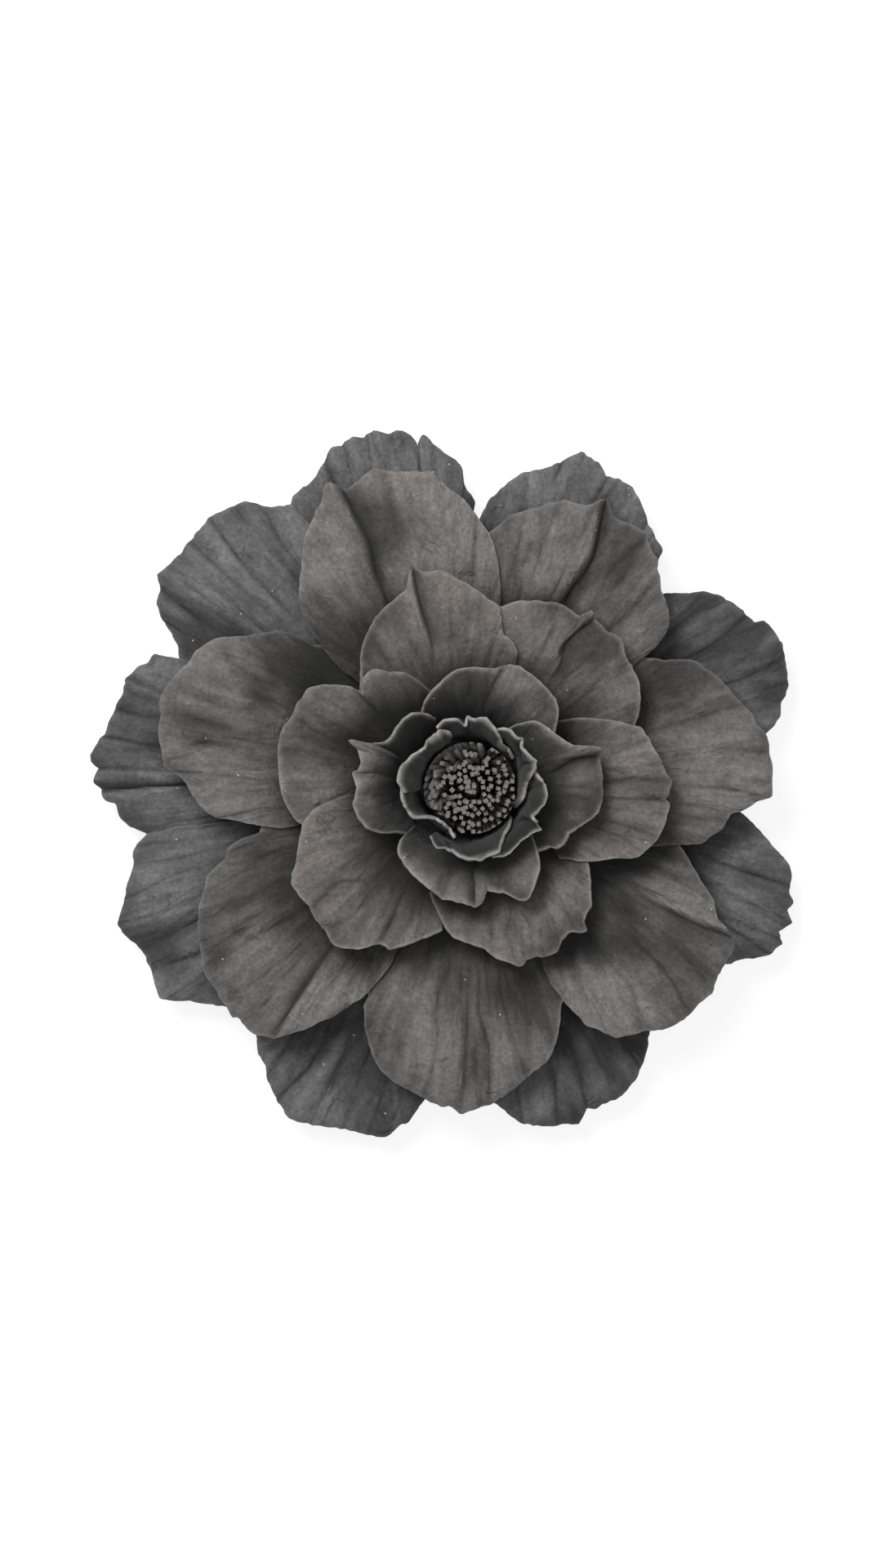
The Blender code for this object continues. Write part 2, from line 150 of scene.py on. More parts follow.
class Petal:
    """One petal: how it laps on its low and high side, its rim (angle, radius), the waves of its
    lobes (angle, lift), and its folds (rim angle, start, end, depth, half width), which start and
    end at a share of the way from the bend to the rim. A fold of CREST_DEPTH or more stands up as
    a crest, and the paper drops behind it on the clockwise side. tone is how light the petal is,
    from 0 to 1. The patches (angle, radius, size, strength) are soft patches of painted shade,
    and of painted light where the strength is negative."""
    def __init__(self, laps, rim, waves, folds=(), tone=0.5, painted_patches=()):
        self.laps = laps
        self.rim = rim
        self.waves = waves
        self.folds = folds
        self.tone = tone
        self.painted_patches = painted_patches


PETALS = {
    OUTER_RING: [
        Petal((CLEAR, UNDER),
              [(89, 186), (91.3, 198), (91.5, 210), (93.5, 216), (95.5, 222), (97, 230), (97.6, 232),
               (98.5, 225), (99.5, 233), (101.5, 238), (103, 237), (105, 240), (107, 238), (108.5, 241),
               (110.5, 237), (112, 239), (115, 229), (117.5, 224), (121, 222), (124, 214), (127, 205)],
              [(95, 1), (101, 2), (105, 0), (108.5, 2), (113, 0), (121, 0)],
              [(98.6, 0.4, 1, 4.0, 2.5), (102.6, 0.5, 1, 2.0, 2.0), (105.0, 0.55, 1, 1.8, 1.6),
               (107.0, 0.4, 1, 2.2, 1.8), (110.2, 0.5, 1, 2.4, 2.0), (113.5, 0.45, 1, 2.6, 2.6),
               (117.0, 0.5, 1, 1.8, 2.4)], 0.45),
        Petal((CLEAR, CLEAR),
              [(48, 180), (50.5, 190), (51, 199), (53.5, 203), (56.5, 209), (59, 216), (61.5, 222),
               (64, 223), (66.5, 221), (68.5, 228), (71.5, 230), (74.5, 220), (77, 212), (80, 209),
               (83.5, 197), (86, 188), (88, 174)],
              [(51, 0), (59, 1), (64, -1), (70, 2), (77, 0), (88, 0)],
              [(64.0, 0.4, 1, 3.0, 3.0), (67.0, 0.5, 1, 2.2, 2.0), (75.0, 0.45, 1, 2.2, 3.0),
               (56.0, 0.5, 1, 1.8, 2.4)], 0.5),
        Petal((CLEAR, CLEAR),
              [(8, 180), (10, 194), (13, 207), (15.5, 211), (18, 219), (22, 221), (25, 224),
               (27.5, 223), (29.5, 221), (30, 215), (35, 210), (37, 206), (40, 200), (41.5, 190),
               (43.5, 185), (45, 178), (47, 168)],
              [(10, 0), (18, 0), (25.5, 3), (31, 1), (36, -1), (43, 0)],
              [(27.0, 0.45, 1, -3.0, 4.0), (22.5, 0.45, 1, 2.4, 2.6), (31.5, 0.4, 1, 2.2, 2.6),
               (17.0, 0.5, 1, 1.8, 2.4), (37.0, 0.5, 1, 1.6, 2.4)], 0.5),
        Petal((CLEAR, CLEAR),
              [(-38, 184), (-35, 200), (-32.5, 208), (-29, 223), (-26.5, 228), (-25, 222),
               (-22.5, 227), (-21, 222), (-19.5, 223), (-18, 219), (-16, 218), (-13.5, 214),
               (-11, 201), (-8, 189), (-5, 177), (-4, 172)],
              [(-35, 0), (-28, 2), (-22, 1), (-17.5, -1), (-13.5, 1), (-8, 0)],
              [(-17.5, 0.35, 1, 4.0, 3.5), (-23.5, 0.5, 1, 2.0, 2.2), (-28.5, 0.45, 1, 2.4, 2.6)], 0.55),
        Petal((CLEAR, CLEAR),
              [(-89, 190), (-86, 204), (-83.5, 211), (-81.5, 220), (-78, 225), (-73.5, 228),
               (-72, 230), (-70, 222), (-68.5, 225), (-66, 223), (-63.5, 224), (-60, 217),
               (-57.5, 211), (-55, 202), (-53, 196), (-50, 180)],
              [(-86, 0), (-78, 1), (-72.5, 2), (-69, -1), (-64, 1), (-57, 0)],
              [(-69.5, 0.4, 1, 3.0, 2.4), (-75.0, 0.5, 1, 2.2, 2.6), (-64.0, 0.45, 1, 2.0, 2.2),
               (-59.0, 0.5, 1, 1.8, 2.4), (-80.0, 0.5, 1, 1.8, 2.4)], 0.4),
        Petal((CLEAR, CLEAR),
              [(225, 192), (229, 210), (230, 215), (231.5, 221), (234, 225), (235.5, 231),
               (238.5, 239), (241.5, 244), (245, 242), (247.5, 238), (250, 236), (253, 236),
               (256.5, 234), (258, 225), (259.5, 221), (261, 210), (262, 202), (265, 190)],
              [(229, 0), (237, 1), (242, 2), (249, -1), (255, 1), (261, 0)],
              [(249.0, 0.4, 1, 3.0, 2.6), (244.5, 0.5, 1, 2.2, 2.2), (239.0, 0.45, 1, 2.6, 2.4),
               (234.0, 0.5, 1, 2.0, 2.2), (254.0, 0.5, 1, 2.0, 2.2)], 0.42),
        Petal((OVER, CLEAR),
              [(187.5, 190), (188, 212), (190.5, 223), (193, 224), (195.5, 230), (199, 238),
               (201, 245), (202.5, 245), (205, 240), (207.5, 238), (211.5, 240), (214.3, 243),
               (215, 239), (217.5, 228), (220.5, 217), (222.5, 210), (225, 200)],
              [(188, 0), (192, 1), (202, 2), (206.5, -1), (211, 1), (214.5, 3), (220, 0)],
              [(206.5, 0.4, 1, 2.8, 2.4), (197.0, 0.5, 1, 2.4, 2.2), (201.5, 0.5, 1, 2.0, 2.0),
               (211.0, 0.45, 1, 2.4, 2.4), (192.5, 0.5, 1, 2.0, 2.2), (216.5, 0.5, 1, 1.8, 2.0)], 0.38),
        Petal((OVER, UNDER),
              [(155.5, 190), (156, 207), (157, 223), (158.5, 223), (160, 230), (162.5, 235),
               (164.5, 233), (169, 238), (171.5, 240), (175, 247), (176, 246.5), (177, 242),
               (179, 245), (180, 241), (182, 237), (182.5, 231), (184.5, 229), (186.5, 222),
               (188, 212), (191, 208), (194, 205)],
              [(156, 0), (164, 2), (170, 1), (175.5, 2), (181, -1), (185, 2), (190, 0)],
              [(180.8, 0.45, 1, 6.5, 2.2), (167.0, 0.5, 1, 2.6, 2.4), (172.5, 0.45, 1, 2.6, 2.2),
               (176.5, 0.5, 1, 2.2, 1.8), (162.0, 0.5, 1, 2.0, 2.2), (184.0, 0.55, 1, -1.5, 2.6)], 0.4),
        Petal((OVER, UNDER),
              [(121, 195), (122, 217), (125, 223), (126.5, 229), (128, 237), (130, 239),
               (131.5, 241), (134, 244), (137, 243), (141, 242), (143, 243), (145.5, 246),
               (147.5, 239), (149.5, 237), (151, 230), (152.5, 219), (154, 211), (155.7, 207),
               (161, 202)],
              [(122, 0), (130, 2), (134, 0), (139, 2), (145.5, 1), (150, -1), (156, 0)],
              [(134.0, 0.4, 1, 2.4, 2.6), (138.5, 0.45, 1, 2.0, 2.2), (130.0, 0.5, 1, 2.0, 2.2),
               (143.5, 0.45, 1, 2.4, 2.6), (148.0, 0.4, 1, 2.8, 2.6), (151.5, 0.5, 1, 1.8, 2.2),
               (126.5, 0.5, 1, 1.6, 2.2)], 0.52),
    ],
    SECOND_RING: [
        Petal((OVER, OVER),
              [(80, 118), (81.5, 135), (82.5, 145), (84, 156), (85.5, 165), (88, 174), (91.5, 188),
               (94.5, 195), (95.5, 200), (97, 205), (100, 207), (103, 208), (106.5, 214),
               (109.5, 211), (112.3, 208), (115, 217), (117.5, 207), (122, 197), (124.5, 189),
               (126.5, 181), (129, 174), (132, 164), (134.5, 149), (135.5, 140), (136.5, 124),
               (137, 112)],
              [(80, 0), (88, 0), (94.5, 2), (101, 4), (108, 4), (115, 1), (120, 4), (125, 5),
               (129, 3), (134.5, 1)],
              [(115.0, 0.3, 1, 9.5, 5.0), (101.5, 0.55, 1, 1.4, 3.0), (90.0, 0.5, 1, 1.4, 3.0)], 0.6,
              [(113.5, 166, 13, 0.45), (125.5, 122, 17, 0.65), (123.5, 172, 15, -0.6), (99, 190, 15, -0.35)]),
        Petal((OVER, UNDER),
              [(37.3, 128), (37, 146), (38, 157), (39.5, 167), (42, 172), (45.5, 177), (49.5, 186),
               (50.5, 191), (53, 194), (55.5, 200), (57.5, 200), (60.5, 198), (62.7, 199),
               (64.7, 208), (66.5, 200), (67.5, 197), (70, 196), (72, 195), (76.5, 186), (80, 181),
               (82.5, 175), (86, 165), (92, 146)],
              [(37, 0), (43, 1), (50, 3), (57, 2), (64.7, 0), (68, 2), (73, 3), (79, 1), (86, 0)],
              [(64.7, 0.35, 1, 8.5, 4.6), (56.0, 0.45, 1, 2.6, 3.0), (72.5, 0.5, 1, 1.8, 3.0),
               (49.0, 0.5, 1, 1.8, 3.0), (78.0, 0.5, 1, 1.6, 3.0)], 0.45),
        Petal((OVER, UNDER),
              [(-18, 122), (-16, 133), (-14.5, 146), (-13.5, 154), (-11, 159), (-8.5, 166),
               (-5.5, 170), (-4.5, 177), (-2.6, 186), (-1.7, 195), (1, 195), (3.5, 196), (6, 194),
               (10, 194), (13, 188), (15, 188), (18, 182), (21.5, 178), (24.5, 175), (27, 170),
               (29.5, 167), (31, 161), (33.5, 149), (37, 140), (44, 125)],
              [(-18, 0), (-9.5, 1), (-5, 1), (-1.7, 1), (4, 1), (11, 3), (18, 2), (24.5, 1), (31, 0)],
              [(-1.7, 0.45, 1, 4.5, 2.6), (8.0, 0.5, 1, 1.6, 3.0), (17.5, 0.5, 1, 1.4, 3.0),
               (-9.0, 0.5, 1, 2.0, 2.8)], 0.52),
        Petal((OVER, UNDER),
              [(-66.5, 118), (-67.5, 129), (-67.5, 138), (-66, 151), (-64.5, 163), (-64, 171),
               (-62, 176), (-59.5, 187), (-55.5, 191), (-53, 196), (-50.5, 200), (-47.5, 203),
               (-44.5, 203), (-43, 202), (-40.5, 205), (-39, 203), (-36.5, 200), (-35, 200),
               (-31, 199), (-29, 191), (-28, 180), (-25, 174), (-23, 166), (-21.5, 159),
               (-18.5, 150), (-15.5, 141), (-8, 120)],
              [(-66, 0), (-63.5, 1), (-57, 3), (-50.5, 2), (-44, 1), (-38, 2), (-31, 0), (-28, 1),
               (-16, 0)],
              [(-31.0, 0.45, 1, 6.0, 3.4), (-44.0, 0.5, 1, 2.2, 3.0), (-53.0, 0.45, 1, 2.6, 3.4),
               (-38.0, 0.55, 1, 2.0, 2.4), (-24.0, 0.5, 1, 1.6, 2.4)], 0.56),
        Petal((UNDER, UNDER),
              [(-124, 138), (-116, 148), (-116, 156), (-114, 167), (-111.5, 178), (-109, 187),
               (-107, 192), (-103, 197), (-98, 202), (-95, 206), (-93.5, 205), (-91.5, 210),
               (-89.5, 207), (-86, 204), (-79, 190), (-74.5, 184), (-72.5, 178), (-71, 172),
               (-69.5, 165), (-67, 152), (-60, 135)],
              [(-116, 0), (-106, 1), (-98, 2), (-91, 1), (-85.5, -1), (-79, 1), (-70, 0)],
              [(-86.0, 0.3, 1, 2.6, 2.6), (-80.0, 0.4, 1, 2.4, 2.6), (-91.5, 0.4, 1, 2.0, 2.2),
               (-97.0, 0.45, 1, 2.0, 2.6), (-75.0, 0.45, 1, 1.6, 2.4)], 0.55),
        Petal((UNDER, OVER),
              [(184, 128), (192, 139), (192.5, 152), (194, 161), (196, 164), (197.5, 173),
               (198.5, 179), (202, 186), (205.5, 194), (208, 198), (211.5, 203), (213.5, 208),
               (217, 209), (221, 210), (224, 212), (225, 209), (227, 211), (229, 210),
               (230.5, 208), (232, 205), (233.5, 197), (235.5, 189), (237.5, 178), (238.5, 174),
               (240.5, 162), (243, 152), (245, 136), (246, 124), (245.5, 115)],
              [(192, 0), (201, 2), (207, 3), (213.5, 3), (220, 1), (226, 1), (231, 0), (235, 2),
               (239, 2), (243, 0)],
              [(231.5, 0.45, 1, 6.5, 3.4), (222.0, 0.5, 1, 2.4, 2.6), (214.0, 0.45, 1, 2.6, 3.0),
               (206.0, 0.5, 1, 2.0, 2.8), (227.0, 0.55, 1, 2.0, 2.0)], 0.52),
        Petal((UNDER, OVER),
              [(130, 118), (137.7, 136), (138.5, 146), (139.5, 154), (140.5, 161), (142.5, 165),
               (145.5, 174), (148.5, 186), (150.5, 192), (153.5, 198), (156, 198), (159, 203),
               (162, 207), (164.5, 208), (167, 204), (169.5, 204), (173, 200), (176, 198),
               (177.2, 189), (179, 183), (181, 179), (183, 176), (184.5, 173), (186.5, 165),
               (188, 153), (190, 140), (192, 127), (192.3, 116)],
              [(137, 0), (147, 1), (154, 2), (162, 3), (170, 1), (176, 2), (180, 3), (185, 2),
               (189, 0)],
              [(171.0, 0.5, 0.9, 3.0, 4.5), (160.0, 0.5, 1, 2.0, 3.0), (178.0, 0.5, 1, 2.2, 2.8),
               (151.0, 0.5, 1, 1.8, 2.8)], 0.44,
              [(168, 165, 12, 0.35), (145, 142, 12, 0.35), (151, 178, 16, -0.5)]),
    ],
    THIRD_RING: [
        Petal((OVER, UNDER),
              [(69, 80), (70.5, 94), (73, 100), (77.5, 103), (79, 106), (80.5, 119), (82, 121),
               (85, 123), (89, 128), (93.5, 134), (97.5, 140), (100.5, 141), (102.6, 142),
               (104.6, 149), (106.5, 138), (107.5, 133), (110.5, 132), (115, 129), (119, 125),
               (123.5, 119), (127, 114), (130.5, 108), (134, 101), (140, 92)],
              [(69, 0), (79, 1), (84, 2), (92, 3), (98, 3), (104.6, 1), (109, 2), (116, 1),
               (124, 0)],
              [(104.6, 0.5, 1, 8.0, 3.6), (90.0, 0.5, 1, 1.6, 2.6), (97.0, 0.55, 1, 1.2, 2.2),
               (114.0, 0.5, 1, 1.2, 2.4)], 0.5,
              [(99, 100, 12, 0.45), (89.5, 114, 9, 0.35), (118, 112, 10, -0.5)]),
        Petal((UNDER, UNDER),
              [(12, 98), (20, 111), (23.5, 118), (27.5, 124), (31.5, 128), (36.5, 130), (41, 132),
               (44.5, 137), (49, 134), (52.5, 135), (54, 136), (55.5, 139), (57, 133), (57.5, 131),
               (61.5, 132), (65, 132), (68, 129), (70, 128), (75, 125), (81, 118), (88, 98)],
              [(20, 0), (36.5, 0), (44.5, 2), (50, 1), (55.5, 0), (60, 1), (67, 2), (75, 0)],
              [(55.5, 0.5, 1, 6.0, 3.2), (47.5, 0.5, 1, 2.0, 2.4), (39.0, 0.5, 1, 1.6, 2.6),
               (64.5, 0.5, 1, 1.8, 2.4)], 0.55),
        Petal((OVER, OVER),
              [(-38, 76), (-35.5, 81), (-34, 87), (-29.5, 97), (-26, 104), (-22.5, 117),
               (-21, 119), (-17.5, 123), (-14.5, 126), (-12, 127), (-9, 128), (-4.5, 129),
               (-3.5, 125), (-1.5, 128), (2, 130), (5, 126), (8.5, 124), (11.5, 122),
               (15.5, 120), (19.5, 117), (21, 112), (25, 103), (29.5, 92), (35, 79), (38.5, 70)],
              [(-38, 0), (-26, 1), (-21, 2), (-14, 3), (-8.5, 1), (-3.5, -1), (2, 2), (10, 3),
               (19.5, 1), (31, 0)],
              [(-3.5, 0.5, 1, 3.6, 2.0), (-8.0, 0.5, 1, 2.0, 2.0), (3.0, 0.5, 1, 1.8, 2.0),
               (8.0, 0.5, 1, 2.0, 2.2), (-14.5, 0.5, 1, 1.8, 2.4), (14.0, 0.5, 1, 1.4, 2.0),
               (-21.0, 0.5, 1, 1.6, 2.2)], 0.48),
        Petal((OVER, UNDER),
              [(-111, 74), (-105, 83), (-100, 93), (-96, 98), (-91.5, 100), (-85, 104),
               (-81.5, 111), (-77, 116), (-73.5, 119), (-72, 115), (-68, 115), (-65, 118),
               (-62, 119), (-60.5, 116), (-58.5, 113), (-55, 112), (-52.5, 117), (-50.5, 119),
               (-49.5, 113), (-47.5, 110), (-44, 109), (-37.5, 98), (-34.2, 94), (-27, 82)],
              [(-111, 0), (-98, 1), (-88, 2), (-80, 2), (-73, 0), (-66.5, -1), (-61.5, 1),
               (-55.5, 0), (-50.5, 3), (-44, 1), (-36, 0)],
              [(-67.0, 0.5, 1, 2.4, 2.4), (-80.0, 0.5, 1, 2.0, 2.6), (-74.0, 0.5, 1, 2.2, 2.2),
               (-57.5, 0.5, 1, 2.0, 2.2), (-90.0, 0.5, 1, 1.6, 2.6), (-60.5, 0.75, 1, 2.0, 1.2)], 0.72,
              [(-76.5, 72, 4.5, 1.0), (-72, 74, 3, 0.9)]),
        Petal((OVER, UNDER),
              [(183, 80), (185, 91), (187, 100), (188, 104), (192, 111), (194.5, 113),
               (200.5, 119), (204.5, 124), (208, 130), (212, 130), (216, 128), (221.5, 130),
               (225, 131), (228, 134), (231, 132), (235, 127), (237.5, 121), (240, 115),
               (243.5, 116), (247.5, 110), (252, 103), (259, 93)],
              [(183, 0), (192, 1), (200.5, 2), (208, 3), (215, 0), (222, -1), (229, 3), (235, 1),
               (240, -2), (246, 0)],
              [(239.5, 0.45, 1, 3.6, 3.0), (217.0, 0.5, 1, 2.0, 3.4), (226.0, 0.6, 1, 1.6, 2.0),
               (203.0, 0.5, 1, 1.6, 2.6)], 0.5),
        Petal((OVER, UNDER),
              [(111.5, 70), (115, 79), (119, 87), (124.5, 93), (128.5, 99), (131.5, 101),
               (134, 101), (136.5, 99), (138.5, 94), (139.5, 102), (142, 108), (145, 116),
               (148.5, 122), (153.5, 123), (158.5, 123), (162, 126), (166, 127), (170.5, 125),
               (177, 123), (181.5, 121), (186, 118), (191, 113), (199, 98)],
              [(111.5, 0), (126.5, 1), (134, 1), (138.5, 0), (142, 0), (148.5, 2), (158.5, 3),
               (167, 2), (176, 1), (185, 0)],
              [(138.5, 0.5, 1, 4.0, 2.4), (160.0, 0.5, 1, 1.4, 2.6), (170.0, 0.5, 1, 1.4, 2.6),
               (150.0, 0.5, 1, 1.2, 2.2)], 0.6, [(167, 75, 6, 0.9), (160, 88, 8, 0.3)]),
    ],
    FOURTH_RING: [
        Petal((UNDER, UNDER),
              [(30, 60), (38.5, 71), (42, 76), (46, 79), (53, 81), (61, 83), (68, 84), (72, 83),
               (76, 80), (78, 77), (80.5, 77), (86, 77), (92.5, 77), (99, 74), (105.5, 69),
               (113, 65), (118, 61), (126, 50)],
              [(38, 0), (57, 0), (67, 2), (77, -1), (86, 2), (95, 1), (105, 0)],
              [(77.5, 0.55, 1, 3.6, 3.0), (70.0, 0.6, 1, 1.2, 2.0)], 0.62,
              [(88, 56, 9, 0.7), (60, 56, 8, 0.6), (64, 74, 8, -0.5), (100, 66, 6, -0.3)]),
        Petal((UNDER, OVER),
              [(-47, 57), (-36.5, 62), (-35, 67), (-30.5, 69), (-25, 68), (-20, 73), (-15.5, 79),
               (-10.5, 84), (-4.5, 85), (4, 85), (9.5, 85), (13.5, 86), (17, 88), (19.5, 79),
               (22, 73), (25.5, 70), (31.5, 67), (39.5, 64), (46.5, 61), (53.5, 54), (60, 44)],
              [(-36, 0), (-28, 1), (-19, 2), (-10, 2), (0, 1), (9.5, 2), (17, 1), (23, 1), (32, 2),
               (42, 1), (52, 0)],
              [(17.0, 0.5, 1, 6.0, 3.0), (-6.0, 0.5, 1, 1.4, 2.4), (2.0, 0.55, 1, 1.2, 2.0),
               (-14.0, 0.5, 1, 1.4, 2.2)], 0.24,
              [(10, 52, 9, 0.7), (42, 56, 9, 0.7), (-14, 70, 7, -0.5), (6, 74, 7, -0.4)]),
        Petal((OVER, OVER),
              [(-146, 47), (-143.5, 58), (-139, 63), (-134.5, 65), (-125.5, 68), (-117, 71),
               (-112, 72), (-102, 72), (-96, 73), (-91, 75), (-86, 76), (-83.5, 73), (-81, 67),
               (-75.5, 68), (-72, 70), (-69.5, 74), (-66, 79), (-63, 81), (-56, 75), (-49.5, 70),
               (-43, 61), (-37, 53)],
              [(-139, 0), (-128, 1), (-117, 2), (-106, 1), (-96, 2), (-87, 0), (-81.5, 3),
               (-74, 0), (-66, 2), (-59, 1), (-51, 0)],
              [(-84.0, 0.6, 1, 6.0, 2.2), (-79.0, 0.6, 1, -2.5, 2.4), (-106.0, 0.5, 1, 2.0, 3.0),
               (-73.0, 0.6, 1, 2.4, 2.4)], 0.36,
              [(-93, 57, 9, 0.7), (-72, 55, 6, 0.4), (-107, 64, 6, -0.7), (-62, 66, 6, -0.5),
               (-128, 60, 6, -0.3)]),
        Petal((OVER, UNDER),
              [(116.5, 52), (122, 57), (127.5, 61), (134, 62), (144, 61), (152, 62), (156, 67),
               (157.2, 74), (158.4, 83), (160.4, 76), (163.5, 74), (166, 72), (171, 71),
               (173.5, 75), (178.5, 73), (185.5, 74), (188, 76), (194.5, 74), (201, 71),
               (206.5, 64), (211.5, 54), (221, 45)],
              [(123, 0), (133, 2), (145, 0), (153, 1), (158.3, 0), (163.5, 2), (171, -1),
               (177, 2), (186, 0), (194.5, 2), (203, 0)],
              [(158.4, 0.5, 1, 6.5, 2.6), (171.5, 0.6, 1, 3.0, 2.2), (183.0, 0.6, 1, 2.0, 2.6),
               (145.0, 0.6, 1, 2.2, 3.0)], 0.34, [(152, 57, 8, 0.7), (184, 67, 8, -0.4)]),
    ],
    CUP_RING: [
        Petal((OVER, OVER),
              [(110, 40), (110.5, 41), (113, 42), (118, 44), (123, 44.5), (130.5, 43), (138, 41),
               (144.5, 42), (150, 44), (156.5, 45), (163, 47), (169, 47), (175, 47), (184, 44)],
              [(110, 0), (128, 2), (138, -1), (147, 0), (157, 2), (168, 0), (178, 1)],
              [(138.0, 0.6, 1, 5.0, 2.4), (152.0, 0.65, 1, -2.5, 2.4), (163.0, 0.65, 1, 3.0, 2.0),
               (124.0, 0.65, 1, -2.0, 2.4)], 0.02),
        Petal((OVER, UNDER),
              [(34, 36), (47.5, 37), (58, 39), (66.5, 42), (75.5, 42), (82.5, 42), (88, 41),
               (92.5, 39.5), (95.5, 39), (100, 43.5), (107, 45), (111, 46), (119, 43)],
              [(34, 0), (57, 1), (67, 1), (78, 0), (94.5, -1), (102, 1), (111, 0)],
              [(94.8, 0.55, 1, 6.0, 2.0), (84.0, 0.65, 1, -2.0, 2.4), (62.0, 0.65, 1, 3.0, 2.0),
               (72.0, 0.65, 1, -1.5, 2.4)], 0.02),
        Petal((OVER, UNDER),
              [(-22, 35), (-11.5, 38), (-2, 38.5), (7.5, 40), (14, 44), (18, 45), (20.5, 43),
               (26.5, 43), (33, 41), (38.5, 40), (47, 42), (55, 44), (61, 42), (68, 38)],
              [(-22, 0), (-2, 1), (8, 0), (17, -1), (25, 1), (34, 0), (58, 0)],
              [(13.5, 0.6, 1, -2.0, 1.8), (20.5, 0.6, 1, 4.5, 1.8), (38.0, 0.6, 1, 4.0, 2.0),
               (29.0, 0.65, 1, -2.0, 2.0)], 0.0),
        Petal((UNDER, UNDER),
              [(-72, 46), (-64, 49), (-58.5, 49), (-46.5, 47), (-37, 49), (-33, 51), (-30.5, 53),
               (-28, 46), (-24, 43), (-18, 46), (-12.5, 49), (-4.5, 50), (3.5, 48), (8.5, 44),
               (14, 42)],
              [(-62, 0), (-51, 0), (-40, 0), (-31, 0), (-25, 1), (-16, 0), (5, -1)],
              [(-30.0, 0.5, 1, 6.0, 2.2), (-15.0, 0.6, 1, -2.5, 2.6), (-1.0, 0.6, 1, 2.5, 2.2)], 0.0),
        Petal((UNDER, OVER),
              [(-130, 40), (-123, 43), (-119, 44), (-113, 42), (-106.5, 40), (-100, 42), (-94, 44),
               (-84, 46), (-73, 46), (-65, 46), (-60, 42), (-53, 38.5), (-43, 37), (-34, 34.5)],
              [(-121, 0), (-99, 1), (-88, 2), (-76, 0), (-64, 1), (-54, 0)],
              [(-107.0, 0.6, 1, 5.0, 2.2), (-88.0, 0.6, 1, -2.5, 3.0), (-63.0, 0.6, 1, 4.5, 2.0)], 0.0),
        Petal((UNDER, OVER),
              [(164, 40), (173, 42), (184, 43), (195, 42), (205, 39), (214, 34), (223, 31),
               (233, 30), (244, 31), (253, 35)],
              [(164, -1), (173, -1), (184, 0), (253, 0)],
              [], 0.15),
    ],
}


def deselect_all():
    for obj in bpy.context.selected_objects:
        obj.select_set(False)


def finish_modifiers(obj):
    bpy.context.view_layer.objects.active = obj
    for modifier in list(obj.modifiers):
        bpy.ops.object.modifier_apply(modifier=modifier.name)


def smooth_step(value):
    value = np.clip(value, 0.0, 1.0)
    return value * value * (3.0 - 2.0 * value)


def monotone_curve(xs, ys):
    """A smooth curve through points that never overshoots them."""
    xs = np.asarray(xs, float)
    ys = np.asarray(ys, float)
    steps = np.diff(xs)
    slopes = np.diff(ys) / steps
    tangents = np.zeros(len(xs))
    same_way = slopes[:-1] * slopes[1:] > 0
    weight_a = 2 * steps[1:] + steps[:-1]
    weight_b = steps[1:] + 2 * steps[:-1]
    safe_a = np.where(same_way, slopes[:-1], 1.0)
    safe_b = np.where(same_way, slopes[1:], 1.0)
    inner = (weight_a + weight_b) / (weight_a / safe_a + weight_b / safe_b)
    tangents[1:-1] = np.where(same_way, inner, 0.0)
    tangents[0] = slopes[0]
    tangents[-1] = slopes[-1]

    def value(x):
        index = np.clip(np.searchsorted(xs, x) - 1, 0, len(xs) - 2)
        step = steps[index]
        t = (x - xs[index]) / step
        inside = np.clip(t, 0.0, 1.0)
        h00 = (1 + 2 * inside) * (1 - inside) ** 2
        h10 = inside * (1 - inside) ** 2
        h01 = inside ** 2 * (3 - 2 * inside)
        h11 = inside ** 2 * (inside - 1)
        curve = (h00 * ys[index] + h10 * step * tangents[index]
                 + h01 * ys[index + 1] + h11 * step * tangents[index + 1])
        return curve + np.where(t > 1, (t - 1) * step * tangents[-1], 0.0)

    return value


def lattice_noise(seed, x, y):
    """Smooth noise in -1..1 from a seeded lattice that repeats every 64 cells."""
    lattice = np.random.RandomState(seed).uniform(-1.0, 1.0, (64, 64))
    x0 = np.floor(x).astype(int)
    y0 = np.floor(y).astype(int)
    fx = smooth_step(x - x0)
    fy = smooth_step(y - y0)
    near = lattice[x0 % 64, y0 % 64] * (1 - fx) + lattice[(x0 + 1) % 64, y0 % 64] * fx
    far = lattice[x0 % 64, (y0 + 1) % 64] * (1 - fx) + lattice[(x0 + 1) % 64, (y0 + 1) % 64] * fx
    return near * (1 - fy) + far * fy


class Bowl:
    """The smooth surface that a ring's petals follow, by distance past the bend."""

    def __init__(self, ring):
        points = ring.section
        self.lengths = [0.0]
        for (r0, z0), (r1, z1) in zip(points, points[1:]):
            self.lengths.append(self.lengths[-1] + math.hypot(r1 - r0, z1 - z0))
        self.radius = monotone_curve(self.lengths, [r for r, z in points])
        self.height = monotone_curve(self.lengths, [z for r, z in points])
        self.throat = self.lengths[1]
        self.table_d = np.linspace(0.0, self.lengths[-1] + 20.0, 1500)
        self.table_r = np.maximum.accumulate(self.radius(self.table_d) + 1e-6 * self.table_d)

    def distance(self, radius):
        return np.interp(radius, self.table_r, self.table_d)

    def normal(self, distance):
        dr = self.radius(distance + 0.5) - self.radius(distance - 0.5)
        dz = self.height(distance + 0.5) - self.height(distance - 0.5)
        size = np.hypot(dr, dz)
        return -dz / size, dr / size


def sway_at(ring, angle):
    """Radial shift of the ring's rim at an angle, eased between its pairs."""
    shift = np.zeros_like(angle)
    for (a0, d0), (a1, d1) in zip(ring.sway, ring.sway[1:]):
        turned = a0 + (angle - a0) % 360.0
        eased = d0 + (d1 - d0) * smooth_step((turned - a0) / (a1 - a0))
        shift = np.where(turned <= a1, eased, shift)
    return shift


